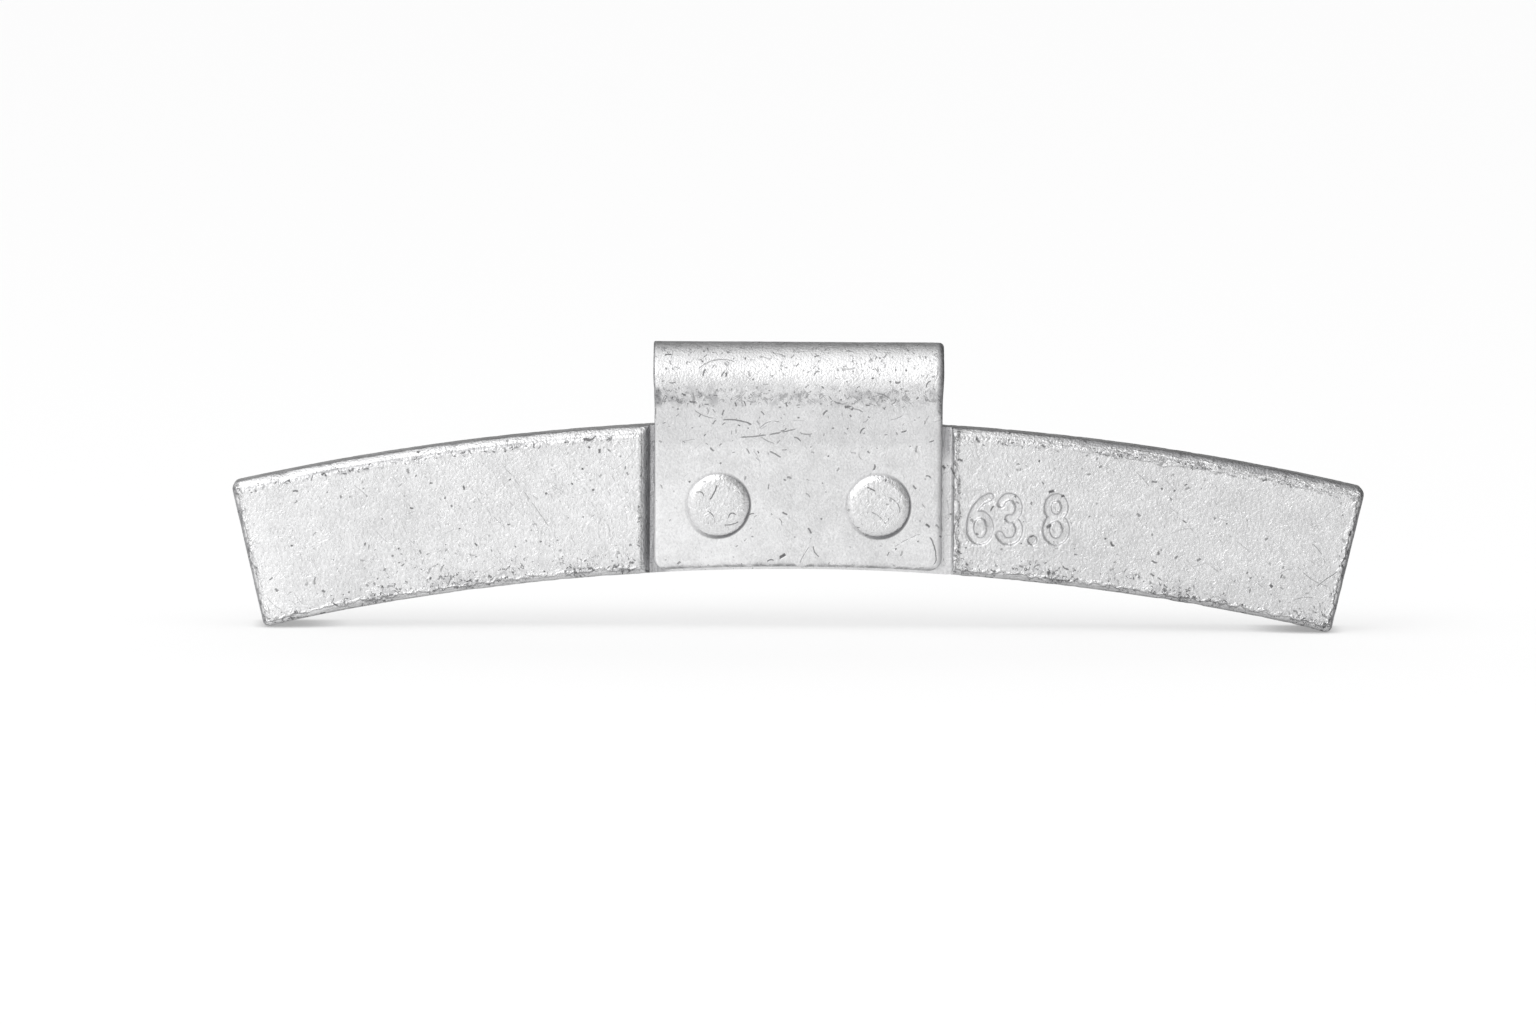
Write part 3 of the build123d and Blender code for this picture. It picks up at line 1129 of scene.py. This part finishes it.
STUD_SCRATCHES = ((
    ((-0.1, 1.8), (-0.7, 0.5), 0.08, 0.12, 0.35, 0.8),
    ((-0.95, -0.5), (-0.3, -1.7), 0.3, 0.1, 0.55, 0.65),
    ((-1.9, 1.1), (-1.2, 0.75), 0.25, 0.1, 0.35, 0.75),
    ((0.9, -1.1), (1.6, -0.8), 0.3, 0.12, 0.35, 0.8),
    ((0.6, -1.7), (1.8, -1.4), -0.1, 0.11, 0.45, 0.75),
), (
    ((-1.0, 1.65), (-0.25, 1.3), 0.05, 0.11, 0.25, 0.8),
    ((0.9, 0.8), (1.9, -0.6), 0.3, 0.09, 0.55, 0.6),
    ((-0.6, -0.5), (0.7, -1.6), 0.15, 0.09, 0.55, 0.55),
))


def zinc_finish(wire, zinc, marks_and_shade, smudges_and_shade, raised, grain, settings):
    """Joins grain, rubbing and dark marking, with the painted shade and highlight among them, into
    the zinc coat's shader.
    """
    colours = bpy.context.scene.weight_finish
    tone = wire.fade(grain["Tone"], *TONE_RANGE, settings["dark"], settings["light"])
    grey = wire.add("ShaderNodeCombineColor", {"Red": tone, "Green": tone, "Blue": tone})
    coat = wire.mix(1.0, zinc, grey.outputs["Color"], "MULTIPLY")
    # These two colours also lay on painted shade, which is in both masks
    coat = wire.mix(smudges_and_shade, coat, colours.smudge_and_shade)
    coat = wire.mix(marks_and_shade, coat, colours.mark)
    gloss = wire.fade(grain["Dullness"], *DULLNESS_RANGE, settings["glossy"], settings["dull"])
    gloss = wire.plus(smudges_and_shade, SMUDGE_DULLING, gloss)
    gloss = wire.math("MULTIPLY_ADD", marks_and_shade, MARK_DULLING, gloss, clamp=True)
    height = wire.plus(grain["Height"], settings["relief"], wire.minus(raised, marks_and_shade))
    bump = wire.add("ShaderNodeBump", {
        "Height": height, "Strength": settings["bump"], "Distance": BUMP_DEPTH})
    shader = wire.add("ShaderNodeBsdfPrincipled", {
        "Base Color": coat, "Roughness": gloss, "Metallic": 1.0,
        "Normal": bump.outputs["Normal"]})
    wire.add("ShaderNodeOutputMaterial", {"Surface": shader.outputs["BSDF"]})


def grain_with_highlight(wire, solid, size, painted_highlight):
    """Height, tone and dullness of the coat's grain, with its tone lightened by a painted
    highlight.
    """
    grain = wire.group(shared_group("zinc_grain", build_grain), vector=solid, grain_size=size)
    return {"Height": grain["Height"], "Dullness": grain["Dullness"],
            "Tone": wire.sum(grain["Tone"], painted_highlight)}


def new_material(name):
    """A material with no nodes yet, and its wiring."""
    material = bpy.data.materials.new(name)
    material.use_nodes = True
    material.node_tree.nodes.clear()
    return material, Wiring(material.node_tree)


class BarPlaces:
    """Where a point of the bar's skin lies, and the limits of its parts, all in millimetres."""

    def __init__(self, wire, bar):
        self.flat, self.solid = pattern_places(wire)
        self.along, self.around, _ = wire.parts(self.flat)
        self.x, self.y, self.z = wire.parts(self.solid)
        self.leftward = wire.times(self.along, -1.0)
        self.far = wire.size(self.along)
        self.face = bar.front / MM
        self.end = middle_radius(bar) * bar_half_angle(bar) / MM
        front = bar.height - bar.edge - bar.top_edge
        self.rim = (front + bar.edge * math.pi / 4 + bar.top_edge * EDGE_LENGTH) / MM
        self.foot_left, self.foot_right = (half / MM for half in bar.channel_half)
        self.pad_left, self.pad_right = (
            (half + wall) / MM for half, wall in zip(bar.channel_half, bar.channel_wall))
        on_arm = wire.most(wire.fade(self.leftward, self.pad_left - 0.2, self.pad_left),
                           wire.fade(self.along, self.pad_right - 0.1, self.pad_right))
        self.front = wire.times(wire.between(self.around, -0.35, self.rim + 0.1, 0.1), on_arm)
        coarse = wire.noise(self.flat, 0.9, detail=4.0, roughness=0.6)
        self.ragged = wire.minus(coarse, 0.5)


def worn_edges(wire, at):
    """Wear along the front's edges: the dulled bevel, the chipped line, its burr, and how much of
    the coat flakes off near the edges."""
    patchy = wire.fade(wire.noise(at.flat, 4.0, detail=2.0), 0.4, 0.6, 0.28, 0.88)
    inward = wire.math("MINIMUM", wire.minus(at.end - 0.42, at.far), wire.minus(at.around, 0.36))
    brink = wire.plus(at.ragged, 1.3, inward)
    bevel = wire.times(at.front, wire.fade(brink, 0.02, -0.06, 0.0, 0.14))
    inward = wire.math("MINIMUM", inward, wire.most(
        wire.minus(at.leftward, at.pad_left - 0.4),
        wire.minus(at.along, at.pad_right + 0.25)))
    brink = wire.plus(at.ragged, 1.3, inward)
    chipped = wire.times(wire.fade(wire.size(brink), 0.08, 0.02), at.front, patchy)
    burr = wire.times(wire.fade(brink, 0.3, 0.05, 0.0, 2.4), wire.fade(brink, -0.12, 0.0), at.front)

    struck = wire.times(wire.between(at.leftward, 27.0, 42.0, 2.5),
                        wire.between(at.around, 0.8, 4.0, 1.0))
    lower = wire.most(wire.fade(at.around, 2.9, 0.4), wire.times(struck, 0.4))
    upper = wire.times(wire.between(at.around, at.rim - 0.95, at.rim - 0.4, 0.2), 0.95)
    tips = wire.times(wire.fade(at.far, at.end - 1.8, at.end - 0.3), 0.6)
    beside = wire.most(wire.between(at.leftward, at.pad_left, at.pad_left + 0.3, 0.2),
                       wire.between(at.along, at.pad_right + 0.35, at.pad_right + 0.65, 0.12))
    flaking = wire.times(wire.most(lower, upper, tips, beside), at.front, patchy)
    return bevel, chipped, burr, flaking


def bar_marks_and_shade(wire, at, bar, stud, chipped, flaking):
    """Dark marking on the bar and its studs, painted shade in the figure's walls, and the flecks
    where the coat has flaked.
    """
    strays = shared_group("stray_marks", build_strays)
    flaked = wire.group(shared_group("edge_flecks", build_flecks), vector=at.flat,
                        amount=flaking, size=0.42)
    ticks = wire.group(strays, vector=at.flat, spacing=0.75, length=1.1, width=0.26, bow=1.8,
                       share=wire.times(flaking, 0.55))["Mask"]
    pitted = wire.fade(wire.noise(at.flat, 6.0, detail=2.0), 0.42, 0.66, 0.05, 0.5)
    knocked = wire.times(wire.fade(at.along, 36.0, 40.0), wire.between(at.around, 0.8, 4.2, 0.8))
    pits = wire.group(strays, vector=at.flat, spacing=1.0, length=0.65, width=0.3, bow=1.4,
                      share=wire.plus(knocked, 0.4, pitted))["Mask"]
    strokes = wire.group(strays, vector=at.flat, spacing=2.1, length=2.8, width=0.14, bow=0.4,
                         share=0.6)["Mask"]
    on_studs = []
    for (x, z), scratches in zip(stud_places(bar, stud), STUD_SCRATCHES):
        place = wire.vector("SUBTRACT", at.flat, (STUD_PATCH + x / MM, z / MM, 0.0))
        on_studs.append(drawn_scratches(wire, place, scratches))
    face = wire.add("ShaderNodeCombineXYZ", {"X": at.x, "Y": at.z}).outputs["Vector"]
    drawn = wire.times(drawn_scratches(wire, face, BAR_SCRATCHES), at.front)
    # Painted shade in the walls of the stamped figure: the front at the depth of those walls, at
    # 0.3 strength, none near the ends
    figure_wall_shade = wire.times(wire.between(at.y, at.face + 0.09, at.face + 0.18, 0.05), at.front,
                              wire.fade(at.far, at.end - 5.0, at.end - 6.0, 0.0, 0.3))
    marks_and_shade = wire.most(
        wire.times(ticks, 0.9), wire.times(pits, 0.9), figure_wall_shade,
        wire.times(flaked["Lines"], 0.9), wire.times(chipped, 0.75), wire.times(strokes, 0.3),
        drawn, *on_studs)
    return marks_and_shade, flaked["Mask"]


def upper_edge(wire, at):
    """Looks of the upper front edge: a line of painted shade where it turns over to the top, a
    ragged dark line low on it along the left arm, and along the right arm the tarnish, a ragged
    layer of coat and the line below that."""
    crest = wire.plus(at.ragged, -0.5, at.around)
    # Painted shade where the edge turns over to the top
    top_shade_line = wire.times(wire.fade(crest, at.rim + 0.38, at.rim + 0.52),
                          wire.fade(at.around, at.rim + 1.3, at.rim + 0.7, 0.0, 0.6))
    # A ragged dark line low on the edge, along the left arm
    left_edge_line = wire.times(wire.between(crest, at.rim - 0.58, at.rim - 0.3, 0.16),
                      wire.fade(at.along, -20.0, -27.0, 0.0, 0.72))
    stretched = wire.vector("MULTIPLY", at.flat, (0.4, 1.0, 1.0))
    wavy = wire.noise(stretched, 0.8, detail=4.0, roughness=0.6)
    frayed = wire.plus(wavy, -2.6, wire.sum(at.around, 1.3))
    rightward = wire.fade(at.along, 17.0, 28.0)
    tarnish = wire.times(wire.between(frayed, at.rim - 0.02, at.rim + 0.9, 0.06), rightward, 0.8)
    layer = wire.times(at.front, rightward, wire.fade(frayed, at.rim - 0.62, at.rim - 0.3),
                       wire.fade(frayed, at.rim - 0.12, at.rim - 0.22))
    below = wire.size(wire.minus(frayed, at.rim - 0.72))
    layer_line = wire.times(at.front, rightward, wire.fade(below, 0.08, 0.02, 0.0, 0.5))
    return top_shade_line, left_edge_line, tarnish, layer, layer_line


def channel_shade(wire, at):
    """Painted shade in the channel beside the clip, all along the left one and high in the right
    one. It is streaky and stays off the bar's back.
    """
    left = wire.times(wire.fade(at.leftward, at.pad_left - 0.1, at.foot_left + 0.3),
                      wire.fade(at.leftward, at.foot_left - 2.0, at.foot_left - 1.0))
    right = wire.times(wire.fade(at.along, at.foot_right + 0.1, at.foot_right - 0.2),
                       wire.fade(at.along, at.foot_right - 2.0, at.foot_right - 1.0))
    under_top = wire.fade(at.around, at.rim - 3.6, at.rim - 2.0, 0.06, 1.0)
    streaks = wire.noise(wire.vector("MULTIPLY", at.flat, (1.0, 0.12, 1.0)), 0.22)
    shallow = wire.fade(at.y, at.face + 1.6, at.face + 1.3)
    return wire.times(wire.fade(streaks, 0.35, 0.7, 0.7, 1.0), shallow,
                      wire.most(left, wire.times(right, under_top)))


def painted_edge_shade(wire, at):
    """Painted shade along the lower front edge and along the front of the two ends, ragged like
    wear.
    """
    ragged_far = wire.plus(at.ragged, 0.5, at.far)
    outline = wire.most(
        wire.fade(at.around, 0.2, -0.3, 0.0, 0.6),
        wire.times(wire.between(ragged_far, at.end - 0.26, at.end, 0.08),
                   wire.between(at.around, -0.4, at.rim + 0.3, 0.2)))
    return wire.times(outline, wire.math("LESS_THAN", at.far, 2 * at.end))


def bar_material(bar, stud):
    """Zinc coat of the bar: flaked along its edges, pitted and scratched, with painted shade at its
    edges, in the channel and in the figure, and a painted highlight near the left end.
    """
    material, wire = new_material("bar_zinc")
    at = BarPlaces(wire, bar)
    bevel, chipped, burr, flaking = worn_edges(wire, at)
    marks_and_shade, flaked = bar_marks_and_shade(wire, at, bar, stud, chipped, flaking)
    top_shade_line, left_edge_line, tarnish, layer, layer_line = upper_edge(wire, at)
    # Painted shade along the lower front edge and the front of the ends
    outline = painted_edge_shade(wire, at)
    raised = wire.plus(layer, 2.4, burr)
    # The painted shade of the edges goes in with the dark marks
    marks_and_shade = wire.most(marks_and_shade, wire.times(outline, 0.22), wire.times(top_shade_line, 0.25), layer_line)
    uneven = wire.fade(at.ragged, -0.2, 0.15, 0.45, 1.0)
    cloud = wire.fade(wire.noise(at.flat, 1.2, detail=4.0), 0.45, 0.7)
    # Among the smudge tone: painted shade in the channel, at the top edge, along the lower front
    # edge and the ends
    smudges_and_shade = wire.most(
        wire.times(flaked, 0.5), channel_shade(wire, at), bevel, top_shade_line, tarnish,
        wire.times(left_edge_line, uneven), wire.times(outline, uneven), wire.times(cloud, flaking, 0.4))
    # Painted highlight near the left end, the end towards the key lamp, strongest low down
    painted_highlight = wire.times(wire.fade(at.leftward, at.end - 3.0, at.end - 0.9),
                          wire.fade(at.around, 5.0, 1.5, 0.08, 0.14))
    grain = grain_with_highlight(wire, at.solid, BAR_GRAIN, painted_highlight)
    zinc_finish(wire, bpy.context.scene.weight_finish.bar_zinc, marks_and_shade, smudges_and_shade, raised, grain,
                BAR_COAT)
    return material


def stud_shadow_rings(wire, flat, bar, clip, stud):
    """Painted shadow on the clip round the studs' heads, darkest to the right and below, away from
    the key lamp.
    """
    foot_z = wheel_centre_z(bar) + clip_foot_radius(bar, clip)
    edge = stud.head / 2 / MM
    stud_shadows = []
    for x, z in stud_places(bar, stud):
        middle = (x / MM, (z - foot_z) / MM, 0.0)
        gap = wire.vector("DISTANCE", flat, middle)
        lee = wire.vector("DOT_PRODUCT", wire.vector("SUBTRACT", flat, middle), (0.85, -0.5, 0.0))
        stud_shadows.append(wire.times(wire.fade(gap, edge + 0.26, edge + 0.08),
                                wire.fade(lee, -1.5, 2.2, 0.15, 1.0)))
    return wire.most(*stud_shadows)


def clip_material(bar, clip, stud):
    """Zinc coat of the clip: smudged and scratched round the start of its bend, with painted shadow
    round the studs' heads and a painted highlight low on the left. Places on it are in millimetres
    across the strip and up from its foot."""
    material, wire = new_material("clip_zinc")
    flat, solid = pattern_places(wire)
    across, up, _ = wire.parts(flat)
    strays = shared_group("stray_marks", build_strays)

    rubbed = wire.times(wire.between(up, 13.9, 15.6, 0.7), 0.65)
    over = wire.times(wire.between(up, 16.5, 21.0, 0.8), 0.4)
    foot = wire.times(wire.fade(up, 0.6, 0.1), 0.65)
    right_edge = wire.times(wire.fade(across, 11.9, 12.4), wire.fade(up, 11.5, 14.0))
    left_edge = wire.times(wire.fade(across, -11.2, -12.2), wire.between(up, 14.0, 15.6, 0.5))
    dirt = wire.most(rubbed, foot, right_edge, left_edge)
    flaked = wire.group(shared_group("edge_flecks", build_flecks), vector=flat,
                        amount=wire.most(dirt, over), size=0.6)
    busy = wire.times(wire.fade(up, 9.5, 14.0, 0.17, 0.6), wire.fade(up, 15.5, 19.0, 1.0, 0.4))
    ticks = wire.group(strays, vector=flat, spacing=0.8, length=0.85, width=0.2, bow=2.4,
                       share=busy)["Mask"]
    strokes = wire.group(strays, vector=flat, spacing=1.9, length=2.2, width=0.13, bow=0.6,
                         share=busy)["Mask"]
    uneven = wire.fade(wire.noise(flat, 0.8, detail=3.0), 0.4, 0.6, 0.15, 0.65)
    foot_line = wire.times(wire.between(up, 0.0, 0.22, 0.1), uneven)
    # Painted shadow round the studs' heads, laid on with the marks and with the smudge tone
    stud_shadows = stud_shadow_rings(wire, flat, bar, clip, stud)
    marks_and_shade = wire.most(
        foot_line, wire.times(flaked["Mask"], 0.33), wire.times(ticks, 0.85),
        wire.times(flaked["Lines"], 0.6), wire.times(strokes, 0.5),
        drawn_scratches(wire, flat, CLIP_SCRATCHES), wire.times(stud_shadows, 0.6))

    cloud = wire.fade(wire.noise(flat, 1.4, detail=4.0, roughness=0.6), 0.4, 0.66)
    veil = wire.times(wire.between(up, 10.6, 15.4, 0.5), 0.17)
    dulled = wire.most(
        wire.times(wire.fade(across, 12.0, 12.5), wire.fade(up, 24.0, 22.0, 0.0, 0.45)),
        wire.times(wire.fade(across, 11.8, 12.1, 0.0, 0.75), wire.between(up, 13.6, 20.0, 0.4)),
        wire.times(wire.fade(across, -11.6, -12.1), wire.between(up, 13.9, 15.4, 0.4)))
    smudges_and_shade = wire.most(wire.times(cloud, dirt, 1.1), veil, wire.times(flaked["Mask"], 0.4),
                        dulled, stud_shadows)
    # Painted highlight low on the left of the clip, towards the key lamp
    painted_highlight = wire.times(wire.fade(across, -2.0, -9.0), wire.fade(up, 9.0, 5.0, 0.0, 0.08))
    grain = grain_with_highlight(wire, solid, CLIP_GRAIN, painted_highlight)
    zinc_finish(wire, bpy.context.scene.weight_finish.clip_zinc, marks_and_shade, smudges_and_shade, 0.0, grain,
                CLIP_COAT)
    return material


# Stage

def floor_material(stage):
    """Paper that shows white to the camera and keeps the shadow. It shows in reflections too, and
    is darker there away from the key lamp, under the bar and beside its ends."""
    material, wire = new_material("paper")
    material.cycles.emission_sampling = "NONE"
    rays = wire.add("ShaderNodeLightPath").outputs
    right, back, _ = wire.parts(wire.add("ShaderNodeTexCoord").outputs["Object"])
    falling = wire.fade(right, -20 * MM, 35 * MM, 1.0, stage.floor_falloff)
    past_end = wire.minus(wire.size(right), bar_high.x)
    # Angle round each end, from straight outward to the back, a radian further at the right end
    round_end = wire.sum(wire.math("ARCTAN2", back, past_end),
                         wire.math("GREATER_THAN", right, 0.0))
    beside = wire.times(wire.fade(past_end, 0.0, 3 * MM), wire.fade(round_end, 0.4, 0.9))
    under = wire.times(wire.fade(past_end, 3 * MM, 0.0),
                       wire.fade(wire.size(back), 5.5 * MM, 3 * MM, 0.0, 0.3))
    lit = wire.minus(1.0, wire.most(beside, under))
    reflected = wire.times(falling, lit,
                           wire.most(rays["Is Glossy Ray"], rays["Is Transmission Ray"]))
    # What is near is looked for upwards and to the back, so it darkens the paper in front of it
    backward = wire.add("ShaderNodeCombineXYZ", {"Y": 0.7, "Z": 0.7}).outputs["Vector"]
    open_sky = wire.add("ShaderNodeAmbientOcclusion", {
        "Distance": stage.contact, "Normal": backward}, samples=8).outputs["AO"]
    shown = wire.times(rays["Is Camera Ray"], wire.fade(open_sky, 0.3, 0.95, 0.45))
    strength = wire.times(wire.most(shown, reflected), stage.floor_glow)
    paper = wire.add("ShaderNodeBsdfDiffuse", {"Color": stage.floor_colour})
    white = wire.add("ShaderNodeEmission", {"Strength": strength})
    both = wire.add("ShaderNodeAddShader")
    wire.feed(both.inputs[0], paper.outputs["BSDF"])
    wire.feed(both.inputs[1], white.outputs["Emission"])
    wire.add("ShaderNodeOutputMaterial", {"Surface": both.outputs["Shader"]})
    return material


def studio_world():
    """A studio with a broad soft box from the front over the top, brightest at the left and dark
    behind and to the right. What falls on the paper comes mostly from above."""
    world = bpy.data.worlds.new("studio")
    bpy.context.scene.world = world
    world.use_nodes = True
    world.cycles.sampling_method = "NONE"
    world.node_tree.nodes.clear()
    wire = Wiring(world.node_tree)
    rays = wire.add("ShaderNodeLightPath").outputs
    seen = wire.most(rays["Is Camera Ray"], rays["Is Glossy Ray"], rays["Is Transmission Ray"])
    right, back, up = wire.parts(wire.add("ShaderNodeTexCoord").outputs["Generated"])
    # Angle up from straight ahead of the front, in radians
    climb = wire.math("ARCTAN2", up, wire.times(back, -1.0))
    box = wire.sum(wire.fade(climb, 0.1, 0.35, 1.09, 1.18), wire.fade(climb, 0.65, 1.1, 0.0, 0.2))
    behind = wire.fade(climb, 1.45, 2.5, 1.0, 0.17)
    darker = wire.fade(right, -0.22, 0.28, 1.12, 0.42)
    dimmer = wire.fade(right, -0.45, -0.95, 1.0, 0.72)
    darkest = wire.fade(right, 0.45, 0.95, 1.0, 0.5)
    shown = wire.times(box, behind, darker, dimmer, darkest)
    above = wire.times(wire.fade(climb, 0.3, 1.0, 0.05, 1.4), behind)
    above = wire.sum(above, wire.fade(climb, 2.2, 2.7, 0.0, 1.6))
    level = wire.add("ShaderNodeMix", {"Factor": seen, "A": above, "B": shown})
    light = wire.add("ShaderNodeBackground", {
        "Color": (1.0, 1.0, 1.0, 1.0), "Strength": level.outputs["Result"]})
    wire.add("ShaderNodeOutputWorld", {"Surface": light.outputs["Background"]})


def add_lamp(name, power, size, place, aim):
    """A square lamp that points at a place."""
    lamp = bpy.data.lights.new(name, "AREA")
    lamp.energy = power
    lamp.size = size
    obj = bpy.data.objects.new(name, lamp)
    bpy.context.scene.collection.objects.link(obj)
    obj.location = place
    obj.rotation_euler = (Vector(aim) - Vector(place)).to_track_quat("-Z", "Y").to_euler()


def add_camera(stage):
    """The camera, at its distance and elevation in front of what it is aimed at."""
    camera = bpy.data.objects.new("camera", bpy.data.cameras.new("camera"))
    bpy.context.scene.collection.objects.link(camera)
    camera.data.lens = stage.lens
    camera.data.sensor_width = stage.sensor
    aim = Vector(stage.aim)
    back = Vector((0, -math.cos(stage.elevation), math.sin(stage.elevation)))
    turn = (-back).to_track_quat("-Z", "Y").to_matrix() @ Matrix.Rotation(stage.roll, 3, "Z")
    camera.location = aim + back * stage.distance
    camera.rotation_euler = turn.to_euler()
    bpy.context.scene.camera = camera


class WHEELWEIGHT_OT_stage(bpy.types.Operator):
    """Make the floor, the lights and the camera"""

    bl_idname = "wheel_weight.stage"
    bl_label = "Make stage"

    def execute(self, context):
        scene = context.scene
        stage = scene.weight_stage
        scene.view_settings.view_transform = "Standard"
        mesh = bpy.data.meshes.new("floor")
        reach = stage.floor_reach
        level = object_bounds()[0].z
        mesh.from_pydata([(-reach, -reach, level), (reach, -reach, level),
                          (reach, reach, level), (-reach, reach, level)], [], [(0, 1, 2, 3)])
        floor = bpy.data.objects.new("floor", mesh)
        scene.collection.objects.link(floor)
        mesh.materials.append(floor_material(stage))
        floor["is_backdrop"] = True
        studio_world()
        add_lamp("key", stage.key_power, stage.key_size, stage.key_place, stage.aim)
        add_camera(stage)
        return {"FINISHED"}


class WHEELWEIGHT_OT_bar(bpy.types.Operator):
    """Make the curved bar with its channel, studs, pockets and stamped figure"""

    bl_idname = "wheel_weight.bar"
    bl_label = "Make bar"

    def execute(self, context):
        scene = context.scene
        bar, stud = scene.weight_bar, scene.weight_stud
        obj = bar_skin(bar)
        stamp_figure(obj, bar, scene.weight_figure)
        batter(obj, rolling=0.012 * MM, grain=0.004 * MM, dent=0.12 * MM)
        for number, place in enumerate(stud_places(bar, stud)):
            head = turned("stud", stud_profile(bar, stud), STUD_SPOKES, place, STUD_PATCH,
                          stud_wobble(number))
            batter(head, rolling=0.006 * MM, grain=0.003 * MM, dent=0)
            combine(obj, head, "UNION")
            punch = turned("punch", pocket_profile(bar, stud), STUD_SPOKES, place, POCKET_PATCH)
            combine(obj, punch, "DIFFERENCE")
        finish_mesh(obj, bar_material(bar, stud))
        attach(obj, "root")
        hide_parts("weight_body")
        return {"FINISHED"}


class WHEELWEIGHT_OT_clip(bpy.types.Operator):
    """Make the spring clip that hooks over the rim's lip"""

    bl_idname = "wheel_weight.clip"
    bl_label = "Make clip"

    def execute(self, context):
        scene = context.scene
        bar, clip, stud = scene.weight_bar, scene.weight_clip, scene.weight_stud
        obj = clip_skin(bar, clip)
        batter(obj, rolling=0.01 * MM, grain=0.003 * MM, dent=0.05 * MM)
        spare = 1 * MM
        front, back = bar.front - spare, bar.front + clip.thickness + spare
        radius = stud.hole / 2
        profile = [(0, front), (radius, front), (radius, back), (0, back)]
        for place in stud_places(bar, stud):
            hole = turned("hole", profile, STUD_SPOKES, place, POCKET_PATCH)
            combine(obj, hole, "DIFFERENCE")
        finish_mesh(obj, clip_material(bar, clip, stud))
        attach(obj, "root")
        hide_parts("rim_clip")
        return {"FINISHED"}


class WHEELWEIGHT_PT_panel(bpy.types.Panel):
    """Sizes, finishes and buttons for the wheel weight"""

    bl_idname = "WHEELWEIGHT_PT_panel"
    bl_label = "Wheel weight"
    bl_space_type = "VIEW_3D"
    bl_region_type = "UI"
    bl_category = "Wheel weight"

    def draw(self, context):
        for name, kind in SETTINGS.items():
            box = self.layout.box()
            box.label(text=kind.__doc__)
            for value in kind.__annotations__:
                box.prop(getattr(context.scene, name), value)
        for operator in OPERATORS:
            self.layout.operator(operator.bl_idname)


SETTINGS = {
    "weight_bar": BarSizes,
    "weight_clip": ClipSizes,
    "weight_stud": StudSizes,
    "weight_figure": FigureSizes,
    "weight_finish": FinishColours,
    "weight_stage": StageSettings,
}
OPERATORS = (WHEELWEIGHT_OT_bar, WHEELWEIGHT_OT_clip, WHEELWEIGHT_OT_stage)
CLASSES = (*SETTINGS.values(), *OPERATORS, WHEELWEIGHT_PT_panel)


def register():
    """Registers the classes and adds the settings to the scene."""
    for kind in CLASSES:
        bpy.utils.register_class(kind)
    for name, kind in SETTINGS.items():
        setattr(bpy.types.Scene, name, PointerProperty(type=kind))


def unregister():
    """Takes the settings and the classes away again."""
    for name in SETTINGS:
        delattr(bpy.types.Scene, name)
    for kind in reversed(CLASSES):
        bpy.utils.unregister_class(kind)


def main():
    """Builds the weight and its stage."""
    register()
    bpy.ops.wheel_weight.bar()
    bpy.ops.wheel_weight.clip()
    bpy.ops.wheel_weight.stage()


if __name__ == "__main__":
    main()
